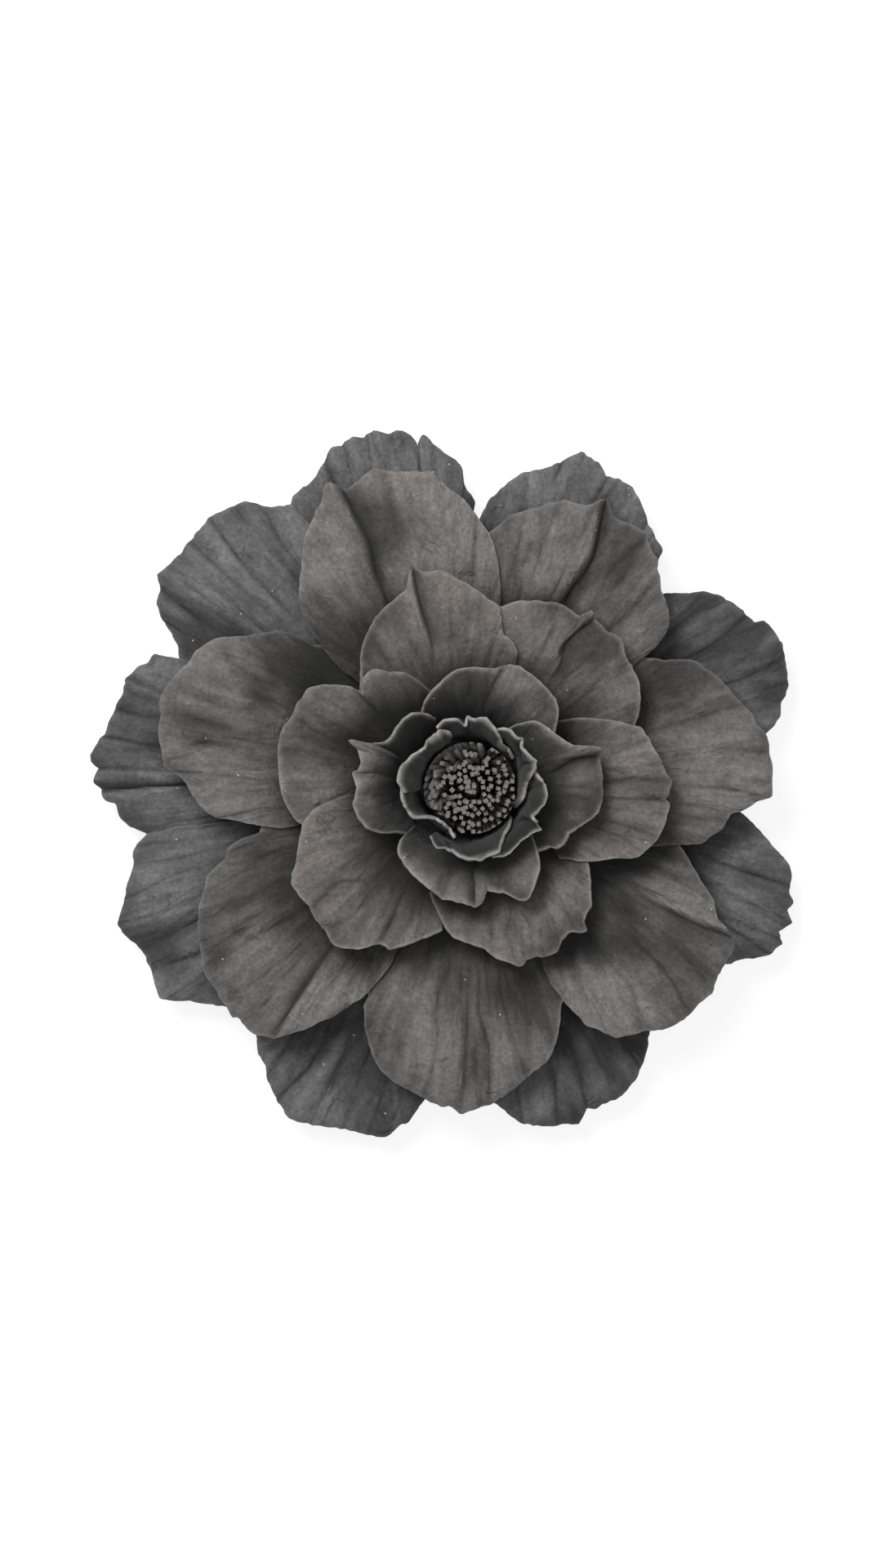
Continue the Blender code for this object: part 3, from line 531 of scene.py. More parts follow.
def rim_middle(petal):
    return (petal.rim[0][0] + petal.rim[-1][0]) / 2


def claw_half_angle(ring):
    middles = sorted(rim_middle(petal) % 360.0 for petal in PETALS[ring])
    turned = middles[1:] + [middles[0] + 360.0]
    return CLAW_SHARE * min(b - a for a, b in zip(middles, turned)) / 2


def sampled_rim(ring, petal, seed):
    """Points of the rim evenly spaced along it, with its fine scallops: angle, radius, length."""
    angles = np.array([point[0] for point in petal.rim], float)
    radii = np.array([point[1] for point in petal.rim], float)
    turn = np.radians(angles)
    xs = radii * np.cos(turn)
    ys = radii * np.sin(turn)
    along = np.concatenate([[0.0], np.cumsum(np.hypot(np.diff(xs), np.diff(ys)))])
    places = np.linspace(0.0, along[-1], ring.columns + 1)
    angle = np.interp(places, along, angles)
    radius = np.interp(places, along, radii)
    scallop = lattice_noise(seed, places / 3.1, np.zeros_like(places))
    scallop += 0.6 * lattice_noise(seed + 1, places / 7.3, np.zeros_like(places))
    return angle, radius + ring.look.scallop * scallop, places


def stray_creases(ring, petal, seed):
    """Short creases left by handling, each at its own place along the fan."""
    random = np.random.RandomState(seed + 50)
    creases = []
    for _ in range(ring.look.creases):
        place = random.uniform(petal.rim[0][0] + 2, petal.rim[-1][0] - 2)
        start = random.uniform(0.15, 0.8)
        end = min(1.0, start + random.uniform(0.14, 0.42))
        depth = random.choice([-1.0, 0.9, 1.4, 2.2])
        creases.append((place, start, end, depth, random.uniform(1.2, 3.4)))
    return creases


def fan_layout(ring, petal, rim_angle, places, reach):
    """How far along the fan each point is, as a share and in mm, and its angle."""
    by_angle = (rim_angle - rim_angle[0]) / (rim_angle[-1] - rim_angle[0])
    by_place = places / places[-1]
    across = by_angle + by_place - 1.0
    claw_angle = rim_middle(petal) + across * claw_half_angle(ring)
    step = np.linspace(0.0, 1.0, ring.rows + 1)
    share = (step * (1.25 - 0.25 * step))[:, None]
    distance = share * reach[None, :]
    opened = 1.0 / ring.bend_radius - 1.0 / (ring.bend_radius + distance)
    full = 1.0 / ring.bend_radius - 1.0 / (ring.bend_radius + reach)
    angle = claw_angle + (rim_angle - claw_angle) * opened / full[None, :]
    return share, distance, angle


def lapped_side(ring, petal, angle):
    """1 where the sheet lies over a neighbour and -1 where it lies under one, eased between."""
    low, high = petal.laps
    low_share = smooth_step(3.0 - 2.0 * (angle - angle[:, :1]) / ring.lap_span)
    high_share = smooth_step(3.0 - 2.0 * (angle[:, -1:] - angle) / ring.lap_span)
    return np.clip(low * low_share + high * high_share, -1.0, 1.0)


def wrinkles(seed, along_rim, distance):
    """Wrinkles 12, 5.5 and 3.4 mm apart that run out along the fan and drift sideways."""
    drift = 6.0 * lattice_noise(seed + 6, distance / 45.0, np.zeros_like(distance))
    wrinkle = lattice_noise(seed + 2, (along_rim + drift) / 12.0, distance / 34.0)
    wrinkle += 0.5 * lattice_noise(seed + 3, (along_rim - drift) / 5.5, distance / 22.0)
    wrinkle += 0.4 * lattice_noise(seed + 8, (along_rim + drift) / 3.4, distance / 7.0)
    return wrinkle


def rim_flutter(seed, along_rim):
    """Small waves of the rim, 13 and 6 mm long."""
    flat = np.zeros_like(along_rim)
    flutter = lattice_noise(seed + 4, along_rim / 13.0, flat)
    return flutter + 0.4 * lattice_noise(seed + 5, along_rim / 6.0, flat)


def fold_fields(ring, seed, fold, rim_angle, share, angle, radius):
    """One fold: its relief in mm, the painted light and shade beside a crest, and the painted shade in its
    groove.
    """
    rim_place, start, end, depth, half_width = fold
    column = np.interp(rim_place, rim_angle, np.arange(len(rim_angle)))
    left = int(column)
    part = column - left
    line = angle[:, left] * (1 - part) + angle[:, min(left + 1, ring.columns)] * part
    wander = 2.0 * half_width * lattice_noise(seed + 9, share[:, 0] * 5.0, share[:, 0] * 0 + rim_place)
    beside = np.radians(angle - line[:, None]) * radius + wander[:, None]
    strength = smooth_step((share - start) / max(0.2, 0.5 * (end - start)))
    if end < 1:
        strength = strength * (1.0 - smooth_step((share - end + 0.08) / 0.12))
    widened = half_width * (0.5 + 0.5 * share)
    if depth < CREST_DEPTH:
        strength = strength * (0.7 + 0.5 * lattice_noise(seed + 12, share * 7.0, share * 0 + rim_place))
        fall = np.exp(-np.sqrt((beside / widened) ** 2 + 0.02) + 0.14)
        return -depth * strength * fall, 0.0, np.clip(depth / 3.2, 0.0, 1.0) * strength * fall ** 2.5
    # A crest: painted light on its climb, painted shade on the drop behind it and in the crack at its foot
    climb = smooth_step(0.5 + beside / widened)
    crest = climb * np.exp(-np.maximum(beside, 0.0) / (4.0 * widened))
    drop = (1.0 - climb) * np.exp(np.minimum(beside, 0.0) / (2.6 * widened))
    crack = np.exp(-((beside + 0.5 * widened) / (0.45 * widened)) ** 2) * smooth_step((share - 0.5) / 0.3)
    raised = depth * strength * (0.55 * crest - 0.75 * drop) - 1.5 * crack
    return raised, 0.4 * strength * (crest - drop), np.maximum(0.8 * strength * drop ** 1.4, crack)


def paint_shade_and_light(ring, petal, radius, turn, lumps):
    """Painted shade at each point, low on the petal and in its dark patches, and painted light in its pale
    ones.
    """
    dark_to, light_from, darkness = ring.look.shaded
    base = darkness * (1.0 - smooth_step((radius - dark_to) / (light_from - dark_to) + 0.2 * lumps))
    painted_light = np.zeros_like(base)
    for patch_angle, patch_radius, size, strength in petal.painted_patches:
        patch_turn = math.radians(patch_angle)
        away = np.hypot(radius * np.cos(turn) - patch_radius * math.cos(patch_turn),
                        radius * np.sin(turn) - patch_radius * math.sin(patch_turn))
        patch = np.exp(-(away / size) ** 2)
        base = np.maximum(base, strength * patch)
        painted_light += max(0.0, -strength) * patch
    return base, painted_light


def fan_fields(ring, petal, number):
    """Angle, radius and height of every point of the fan, its place on the flat sheet, and its looks."""
    bowl = Bowl(ring)
    look = ring.look
    seed = 100 * RINGS.index(ring) + 7 * number
    rim_angle, rim_radius, places = sampled_rim(ring, petal, seed)
    reach = bowl.distance(rim_radius - sway_at(ring, rim_angle))
    share, distance, angle = fan_layout(ring, petal, rim_angle, places, reach)
    along_rim = places[None, :] + np.zeros_like(distance)
    radius = bowl.radius(distance)
    turn = np.radians(angle)

    side = lapped_side(ring, petal, angle)
    hidden = np.clip(-side, 0.0, 1.0)
    lapping = np.clip(side, 0.0, 1.0)
    offset = (SHEET + LAP_GAP) / 2 * smooth_step(distance / bowl.throat) * side

    # Lumps 34 and 15 mm across belong to the whole ring, so that lapping sheets share them
    ring_seed = 900 + RINGS.index(ring)
    ground_x = radius * np.cos(turn)
    ground_y = radius * np.sin(turn)
    worked = smooth_step((distance - bowl.throat) / (0.35 * bowl.lengths[-1]))
    lumps = lattice_noise(ring_seed, ground_x / 34.0, ground_y / 34.0)
    lumps += 0.35 * lattice_noise(ring_seed + 20, ground_x / 15.0, ground_y / 15.0)
    offset += look.lump * lumps * worked

    # The petal's own relief: its lobes, wrinkles, flutter, folds and curled rim
    wave_angles, wave_lifts = zip(*petal.waves)
    waves = monotone_curve(wave_angles, wave_lifts)(np.clip(rim_angle, wave_angles[0], wave_angles[-1]))
    own = (waves * (1.0 - 0.8 * hidden[-1]))[None, :] * share ** 1.5
    free = 1.0 - 0.85 * hidden
    wrinkle = wrinkles(seed, along_rim, distance)
    own += 0.34 * look.lump * wrinkle * (worked * free)
    own += look.flutter * rim_flutter(seed, along_rim) * share ** 6 * free
    # Painted light and shade: raised lumps and wrinkles lighter, low ones darker
    relief_shading = 0.5 + 0.46 * lumps * worked + 0.26 * wrinkle
    groove_shade = np.zeros_like(distance)
    for fold in list(petal.folds) + stray_creases(ring, petal, seed):
        raised, lit, sunken = fold_fields(ring, seed, fold, rim_angle, share, angle, radius)
        own += raised
        relief_shading += lit
        groove_shade = np.maximum(groove_shade, sunken)
    from_rim = (1.0 - share) * reach[None, :]
    rolled = np.clip(1.0 - from_rim / look.curl_width, 0.0, 1.0)
    own -= look.curl * rolled ** 2 * (1.0 - hidden)

    # Where sheets lap, the upper one may only rise and the lower one only sink
    offset += own - lapping * np.minimum(own, 0.0) - hidden * np.maximum(own, 0.0)
    normal_r, normal_z = bowl.normal(distance)
    height = bowl.height(distance) + normal_z * offset
    radius = radius + normal_r * offset + sway_at(ring, angle) * share ** 4

    # The pale rim: partly rubbed chalk, partly a painted highlight, stronger towards the inner rings
    edge = np.clip(1.0 - from_rim / PALE_RIM_WIDTH, 0.0, 1.0) * (0.5 + 0.12 * RINGS.index(ring))
    # Painted shade low on the petal, in dark patches, in grooves and on sheets lying under others; painted
    # light in pale patches, on lit crest sides and on sheets lying over others
    base, painted_light = paint_shade_and_light(ring, petal, radius, turn, lumps)
    relief_shading = np.clip(relief_shading + painted_light - 0.35 * groove_shade + 0.25 * side * smooth_step(share), 0.0, 1.0)
    looks = {"edge": edge, "base": base, "groove_shade": groove_shade, "relief_shading": relief_shading,
             "tone": np.full(edge.shape, petal.tone), "warmth": np.full(edge.shape, look.warmth)}
    return angle, radius, height, along_rim, distance + ring.bend_radius, looks


def add_attribute(mesh, name, values):
    layer = mesh.attributes.new(name, "FLOAT", "POINT")
    layer.data.foreach_set("value", np.asarray(values, np.float32).ravel())


def new_piece(name):
    """The object that an operator has just made, named with its mesh."""
    obj = bpy.context.object
    obj.name = name
    obj.data.name = name
    return obj


def give_material(obj, material):
    obj.data.materials.clear()
    obj.data.materials.append(material)


def add_bevel(obj, name, width, segments, angle):
    """A modifier that rounds the edges sharper than an angle in degrees."""
    bevel = obj.modifiers.new(name, "BEVEL")
    bevel.width = width
    bevel.segments = segments
    bevel.limit_method = "ANGLE"
    bevel.angle_limit = math.radians(angle)


def make_petal(ring, number, petal, material):
    """A grid laid over the bowl, given the paper's thickness and softened cut edges."""
    node = f"{ring.name}_{number}"
    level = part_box(node)[0][2] / MM + SHEET / 2
    angle, radius, height, sheet_u, sheet_v, looks = fan_fields(ring, petal, number)
    claw_share = (np.arange(CLAW_ROWS) / CLAW_ROWS)[:, None]
    claw_radius = ring.claw_radius + (ring.bend_radius - ring.claw_radius) * claw_share

    def on_grid(claw, fan):
        """The claw's rows and then the fan's. The grid runs along +X and a petal's columns run
        anticlockwise, so they are laid from the far end."""
        return np.vstack([claw + np.zeros((CLAW_ROWS, ring.columns + 1)), fan])[:, ::-1]

    deselect_all()
    bpy.ops.mesh.primitive_grid_add(x_subdivisions=ring.columns, y_subdivisions=ring.rows + CLAW_ROWS,
                                    size=1.0, location=(0, 0, 0))
    obj = new_piece(f"paper_{node}")
    turn = np.radians(on_grid(angle[:1], angle))
    radius = on_grid(claw_radius, radius)
    height = on_grid(0.0, height) + level
    points = np.stack([radius * np.cos(turn), radius * np.sin(turn), height], axis=-1) * MM
    obj.data.vertices.foreach_set("co", points.reshape(-1))
    uvs = np.stack([on_grid(sheet_u[:1], sheet_u), on_grid(claw_radius, sheet_v)], axis=-1)
    uvs = uvs.reshape(-1, 2) / UV_UNIT
    loop_vertices = np.empty(len(obj.data.loops), int)
    obj.data.loops.foreach_get("vertex_index", loop_vertices)
    obj.data.uv_layers[0].name = "fan"
    obj.data.uv_layers[0].uv.foreach_set("vector", uvs[loop_vertices].reshape(-1))
    # The claw, under the ring above, lies in full painted shade
    claw_looks = {"base": 1.0, "tone": petal.tone, "warmth": ring.look.warmth}
    for name, values in looks.items():
        add_attribute(obj.data, name, on_grid(claw_looks.get(name, 0.0), values))
    obj.data.update()
    sheet = obj.modifiers.new("paper", "SOLIDIFY")
    sheet.thickness = SHEET * MM
    sheet.offset = 0.0
    sheet.use_even_offset = False
    add_bevel(obj, "cut_edge", CUT_EDGE * MM, 2, 50)
    finish_modifiers(obj)
    obj.data.shade_smooth()
    give_material(obj, material)
    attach(obj, "root")
    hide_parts(node)
    return obj


def make_bead(material, petals):
    """The small knob of pulp pressed onto the lap of third petals 5 and 6."""
    x = BEAD_AT_RADIUS * math.cos(math.radians(BEAD_AT_ANGLE)) * MM
    y = BEAD_AT_RADIUS * math.sin(math.radians(BEAD_AT_ANGLE)) * MM
    level = max(vert.co.z for petal in petals for vert in petal.data.vertices
                if math.hypot(vert.co.x - x, vert.co.y - y) < 3 * MM)
    deselect_all()
    bpy.ops.mesh.primitive_uv_sphere_add(segments=20, ring_count=12, radius=BEAD_SIZE * MM,
                                         location=(0, 0, 0))
    obj = new_piece("paper_bead")
    # Lumps of 1.4 mm, and a ball pressed wider than it is high
    for vert in obj.data.vertices:
        lump = 1.0 + 0.18 * float(lattice_noise(77, vert.co.x * 700 + 20, vert.co.y * 700 + 20))
        vert.co = (x + 1.25 * lump * vert.co.x, y + lump * vert.co.y, level + 0.8 * lump * vert.co.z)
    # The bead gets a little of the pale rim and some painted light
    for name, value in (("edge", 0.5), ("relief_shading", 0.7), ("tone", 0.6), ("warmth", 1.0)):
        add_attribute(obj.data, name, np.full(len(obj.data.vertices), value))
    obj.data.shade_smooth()
    give_material(obj, material)
    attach(obj, "root")


# Stamens: a strip cut into square-ended teeth and rolled up. It is as high as the solid's strip
# and its roll is as wide, but it is thinner, wound closer and cut finer. Every tooth is bent and
# twisted by handling, and those by the upper left wall of the cup are pressed sideways
BAND_HEIGHT = 26.0
STRIP_HEIGHT = 60.0
ROLL_PITCH = 3.6
ROLL_CORE_RADIUS = 2.6
ROLL_RADIUS = 28.0
STRIP_THICKNESS = 2.7
TOOTH_PITCH = 3.1
TOOTH_WIDTH = 3.2
TOOTH_DEPTH = 3.1
TOOTH_UNEVEN = 0.3
TOOTH_STEPS = 9
# The angles between which the cup presses the outer teeth, and the radius that it holds them in
PRESSED_FROM = 65.0
PRESSED_TO = 215.0
CUP_WALL = 29.7
# Neighbouring teeth lean together in clumps this wide, by this much
CLUMP_WIDTH = 8.0
CLUMP_SHIFT = 3.3
# The straight row that the teeth are first set out in, and the steps that a bend is added up in
ROW_SPACING = 4.0
BEND_STEPS = 40


def strip_length():
    outer = ROLL_RADIUS - STRIP_THICKNESS / 2
    return math.pi * (outer ** 2 - ROLL_CORE_RADIUS ** 2) / ROLL_PITCH


def roll_angle(distance):
    growth = ROLL_PITCH / (2 * math.pi)
    return (math.sqrt(ROLL_CORE_RADIUS ** 2 + 2 * growth * distance) - ROLL_CORE_RADIUS) / growth


def roll_radius(turn):
    return ROLL_CORE_RADIUS + ROLL_PITCH * turn / (2 * math.pi)


def one_tooth():
    """A square bar 1 x 1 x 1, cut into steps along its length."""
    deselect_all()
    bpy.ops.mesh.primitive_cube_add(size=1.0, location=(0, 0, 0.5))
    obj = new_piece("paper_stamens")
    bpy.ops.object.transform_apply(location=True, rotation=False, scale=False)
    for edge in obj.data.edges:
        a, b = (obj.data.vertices[i].co for i in edge.vertices)
        edge.select = abs(a.z - b.z) > 0.5
    for face in obj.data.polygons:
        face.select = False
    bpy.context.tool_settings.mesh_select_mode = (False, True, False)
    bpy.ops.object.mode_set(mode="EDIT")
    bpy.ops.mesh.subdivide(number_cuts=TOOTH_STEPS - 1)
    bpy.ops.object.mode_set(mode="OBJECT")
    return obj


def lay_tooth(index, foot, random, local_x, local_y, up):
    """Where one tooth's points go, in mm: round the roll, fanned out, strayed, bent and twisted."""
    turn = roll_angle((index + 0.5) * TOOTH_PITCH)
    radius = roll_radius(turn)
    outward = radius / ROLL_RADIUS
    facing = math.degrees(turn) % 360.0
    length = STRIP_HEIGHT - BAND_HEIGHT - 6.0 * outward ** 2 + random.uniform(-3.0, 1.6)
    spread = 7.4 * outward ** 2 - 2.6 * (outward < 0.25)
    stray = random.uniform(0.2, 2.2)
    stray_way = random.uniform(0.0, 2 * math.pi)
    if outward > 0.55 and PRESSED_FROM < facing < PRESSED_TO:
        stray = random.uniform(4.0, 12.0)
        stray_way = turn + random.uniform(0.2, 3.0)
        length -= 2.0
    if outward > 0.8:
        stray = min(stray, 8.0)
        stray_way = turn + math.radians(90) + random.uniform(-0.1, 0.5) if stray > 3.0 else stray_way
    centre_x = radius * math.cos(turn)
    centre_y = radius * math.sin(turn)
    clump = (centre_x / CLUMP_WIDTH + 20.0, centre_y / CLUMP_WIDTH + 20.0)
    shift_x = spread * math.cos(turn) + stray * math.cos(stray_way) + CLUMP_SHIFT * lattice_noise(5, *clump)
    shift_y = spread * math.sin(turn) + stray * math.sin(stray_way) + CLUMP_SHIFT * lattice_noise(6, *clump)
    lean = math.atan2(1.9 * math.hypot(shift_x, shift_y), length)
    lean_way = math.atan2(shift_y, shift_x)
    twist = turn + random.uniform(-0.8, 0.8)
    steps = np.linspace(0.0, 1.0, BEND_STEPS + 1)
    bent = np.sin(math.pi * np.clip((steps - 0.05) / 0.85, 0.0, 1.0))
    bend = lean * (bent if stray < 4.0 else smooth_step((steps - 0.2) / 0.6))
    reach_side = np.concatenate([[0.0], np.cumsum(np.sin(bend[:-1]))]) * length / BEND_STEPS
    reach_up = np.concatenate([[0.0], np.cumsum(np.cos(bend[:-1]))]) * length / BEND_STEPS
    side = np.interp(up, steps, reach_side)
    rise = np.interp(up, steps, reach_up)
    slope = np.interp(up, steps, bend)
    width = TOOTH_WIDTH + random.uniform(-TOOTH_UNEVEN, TOOTH_UNEVEN)
    deep = TOOTH_DEPTH + random.uniform(-TOOTH_UNEVEN, TOOTH_UNEVEN)
    across_x = local_x * width * math.cos(twist) - local_y * deep * math.sin(twist)
    across_y = local_x * width * math.sin(twist) + local_y * deep * math.cos(twist)
    way_x = math.cos(lean_way)
    way_y = math.sin(lean_way)
    in_way = across_x * way_x + across_y * way_y
    off_way = -across_x * way_y + across_y * way_x
    ahead = side + in_way * np.cos(slope)
    return np.stack([centre_x + ahead * way_x - off_way * way_y,
                     centre_y + ahead * way_y + off_way * way_x,
                     foot + rise - in_way * np.sin(slope)], axis=-1)


def make_stamens(material):
    """All the teeth as one piece: set out in a row by an array, then laid round the roll one by one."""
    teeth = round(strip_length() / TOOTH_PITCH)
    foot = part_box("stamen_roll")[0][2] / MM + BAND_HEIGHT
    obj = one_tooth()
    add_bevel(obj, "soft_corners", 0.11, 1, 40)
    row = obj.modifiers.new("row", "ARRAY")
    row.count = teeth
    row.use_relative_offset = False
    row.use_constant_offset = True
    row.constant_offset_displace = (ROW_SPACING, 0.0, 0.0)
    finish_modifiers(obj)
    co = np.empty(len(obj.data.vertices) * 3)
    obj.data.vertices.foreach_get("co", co)
    co = co.reshape(-1, 3)
    tooth = np.floor((co[:, 0] + ROW_SPACING / 2) / ROW_SPACING).astype(int)
    local_x = co[:, 0] - ROW_SPACING * tooth
    local_y = co[:, 1]
    up = co[:, 2]
    random = np.random.RandomState(31)
    out = np.zeros_like(co)
    for index in range(teeth):
        mine = tooth == index
        out[mine] = lay_tooth(index, foot, random, local_x[mine], local_y[mine], up[mine])
    # The cup's wall holds the teeth in, most where it leans over them
    reached = np.hypot(out[:, 0], out[:, 1])
    leaning = sway_at(CUP_RING, np.degrees(np.arctan2(out[:, 1], out[:, 0])))
    wall = CUP_WALL + 0.6 * leaning * smooth_step(up)
    out[:, :2] *= np.minimum(1.0, wall / np.maximum(reached, 0.001))[:, None]
    obj.data.vertices.foreach_set("co", (out * MM).reshape(-1))
    # Marks the teeth's upper ends for painted light
    add_attribute(obj.data, "lit_tooth_end", np.clip((up - 0.72) / 0.28, 0.0, 1.0))
    obj.data.update()
    obj.data.shade_smooth()
    deselect_all()
    obj.select_set(True)
    bpy.context.view_layer.objects.active = obj
    bpy.ops.object.shade_smooth_by_angle(angle=math.radians(50))
    give_material(obj, material)
    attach(obj, "root")
    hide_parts("stamen_roll")


def make_stamen_band(material):
    """The uncut lower part of the strip, wound under the teeth and 0.3 mm up between them."""
    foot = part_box("stamen_roll")[0][2] / MM
    deselect_all()
    bpy.ops.mesh.primitive_grid_add(x_subdivisions=180, y_subdivisions=1, size=1.0, location=(0, 0, 0))
    obj = new_piece("paper_stamen_band")
    for vert in obj.data.vertices:
        turn = roll_angle((vert.co.x + 0.5) * strip_length())
        radius = roll_radius(turn)
        height = foot + (vert.co.y + 0.5) * (BAND_HEIGHT + 0.3)
        vert.co = (radius * math.cos(turn) * MM, radius * math.sin(turn) * MM, height * MM)
    strip = obj.modifiers.new("strip", "SOLIDIFY")
    strip.thickness = STRIP_THICKNESS * MM
    strip.offset = 0.0
    finish_modifiers(obj)
    give_material(obj, material)
    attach(obj, "root")


def linear(hex_colour):
    """An sRGB hex colour as the linear colour that Blender's sockets hold."""
    parts = [int(hex_colour[i:i + 2], 16) / 255 for i in (1, 3, 5)]
    parts = [p / 12.92 if p <= 0.04045 else ((p + 0.055) / 1.055) ** 2.4 for p in parts]
    return (*parts, 1.0)


def add_node(tree, kind, inputs=(), **settings):
    """Adds a node with its settings; an input, by name or number, takes a value or an output to link."""
    node = tree.nodes.new(kind)
    for key, value in settings.items():
        setattr(node, key, value)
    for socket, value in dict(inputs).items():
        if isinstance(value, bpy.types.NodeSocket):
            tree.links.new(value, node.inputs[socket])
        else:
            node.inputs[socket].default_value = value
    return node


def new_material(name):
    material = bpy.data.materials.new(name)
    material.use_nodes = True
    return material, material.node_tree, material.node_tree.nodes["Principled BSDF"]


def charcoal_paper():
    """Thick, soft craft sheet, pulp dyed charcoal and rubbed with chalk.

    It is fully matt: the eye sees cloudy chalk over a darker ground, hair-fine stretch
    lines that run out along the fan, pale cut edges, partly rubbed chalk and partly a painted
    highlight, and a few white flecks. Painted shade darkens bases, grooves, dents and creases
    and sheets lying under others; painted light brightens raised paper and lit crests.
    """
    material, tree, shader = new_material("charcoal_craft_paper")
    place = add_node(tree, "ShaderNodeTexCoord").outputs["Object"]
    fan = add_node(tree, "ShaderNodeUVMap", uv_map="fan").outputs["UV"]
    edge, base, groove_shade, relief_shading, tone, warmth = (
        add_node(tree, "ShaderNodeAttribute", attribute_name=name).outputs["Fac"]
        for name in ("edge", "base", "groove_shade", "relief_shading", "tone", "warmth"))

    # Chalk clouds 25 mm across, blotches of 6 mm in them, chalk caught on the tooth of the paper in
    # specks of 2 mm, and pulp grain, whose fibres are 0.1 mm and drawn 0.5 mm across so that they show
    clouds, blotches, speckle, grain = (
        add_node(tree, "ShaderNodeTexNoise", {
            "Vector": place, "Scale": scale, "Detail": detail, "Roughness": roughness}).outputs["Fac"]
        for scale, detail, roughness in (
            (40.0, 4.0, 0.62), (160.0, 5.0, 0.7), (430.0, 3.0, 0.65), (1800.0, 3.0, 0.8)))
    # U is across the fan and V along it, in 0.1 m: stretch lines 2 to 4 mm apart at the rim and about
    # 20 mm long, broad bands 11 mm apart, and lines 9 mm apart that wander, for the handling creases
    stretched = add_node(tree, "ShaderNodeMapping", {"Vector": fan, "Scale": (1.0, 0.28, 1.0)}).outputs[0]
    lines, broad, wandering = (
        add_node(tree, "ShaderNodeTexNoise", {
            "Vector": stretched, "Scale": scale, "Detail": detail, "Roughness": roughness,
            "Distortion": bent}).outputs["Fac"]
        for scale, detail, roughness, bent in (
            (26.0, 5.0, 0.62, 0.9), (9.0, 3.0, 0.5, 0.8), (11.0, 2.5, 0.5, 1.5)))
    # Curled dents 5 mm long, where a thumb or a tool slipped, and where they are
    curls = add_node(tree, "ShaderNodeTexNoise", {
        "Vector": place, "Scale": 75.0, "Detail": 1.0, "Distortion": 0.8}).outputs["Fac"]
    slips = add_node(tree, "ShaderNodeTexNoise", {
        "Vector": place, "Scale": 48.0, "Detail": 1.0}).outputs["Fac"]
    # Dents, and creases 1 mm wide where the paper was worked: thin bands of a noise, kept in patches
    marks = []
    for field, half_width, patches, scarce, full in (
            (curls, 0.0625, slips, 0.62, 0.70), (wandering, 0.035, clouds, 0.55, 0.64)):
        beside = add_node(tree, "ShaderNodeMath", {0: field, 1: 0.5}, operation="SUBTRACT").outputs[0]
        beside = add_node(tree, "ShaderNodeMath", {0: beside}, operation="ABSOLUTE").outputs[0]
        band = add_node(tree, "ShaderNodeMapRange", {
            "Value": beside, "From Min": half_width, "From Max": 0.0}).outputs[0]
        patch = add_node(tree, "ShaderNodeMapRange", {
            "Value": patches, "From Min": scarce, "From Max": full}).outputs[0]
        marks.append(add_node(tree, "ShaderNodeMath", {0: band, 1: patch}, operation="MULTIPLY").outputs[0])
    dents, creases = marks

    # Each field darkens or lightens the paper as it goes from its first to its second value. The
    # raised and sunk places, grooves, bases, dents and creases are painted light and shade; lines,
    # bands, blotches, speckle and grain are the paper's own mottling
    shade = 1.0
    for field, start, end, dark, light in (
            (tone, 0.0, 1.0, 0.70, 1.30), (relief_shading, 0.12, 0.88, 0.46, 1.48),
            (lines, 0.29, 0.67, 0.90, 1.05), (broad, 0.32, 0.68, 0.86, 1.12),
            (blotches, 0.29, 0.71, 0.82, 1.22), (speckle, 0.31, 0.69, 0.76, 1.25),
            (grain, 0.22, 0.78, 0.88, 1.12), (dents, 0.0, 1.0, 1.0, 0.72),
            (creases, 0.0, 1.0, 1.0, 0.86), (groove_shade, 0.0, 1.0, 1.0, 0.22), (base, 0.0, 1.0, 1.0, 0.14)):
        part = add_node(tree, "ShaderNodeMapRange", {
            "Value": field, "From Min": start, "From Max": end, "To Min": dark, "To Max": light}).outputs[0]
        shade = add_node(tree, "ShaderNodeMath", {0: shade, 1: part}, operation="MULTIPLY").outputs[0]
    cool, warm = (
        add_node(tree, "ShaderNodeMix", {0: clouds, 6: linear(low), 7: linear(high)},
                 data_type="RGBA").outputs[2]
        for low, high in (("#4b4b4c", "#666667"), ("#504c49", "#6b6763")))
    ground = add_node(tree, "ShaderNodeMix", {0: warmth, 6: cool, 7: warm}, data_type="RGBA").outputs[2]
    shaded = add_node(tree, "ShaderNodeVectorMath", {0: ground, "Scale": shade}, operation="SCALE").outputs[0]

    # The cut edge is pale in places: partly rubbed chalk, partly a painted highlight
    rim_chalk_and_highlight = add_node(tree, "ShaderNodeMath", {0: edge, 1: 2.8}, operation="POWER").outputs[0]
    patchy = add_node(tree, "ShaderNodeMapRange", {
        "Value": blotches, "From Min": 0.12, "From Max": 0.52}).outputs[0]
    patchy_rim_chalk_and_highlight = add_node(tree, "ShaderNodeMath", {0: rim_chalk_and_highlight, 1: patchy}, operation="MULTIPLY").outputs[0]
    edged = add_node(tree, "ShaderNodeMix", {0: patchy_rim_chalk_and_highlight, 6: shaded, 7: linear("#a8a5a0")},
                     data_type="RGBA").outputs[2]
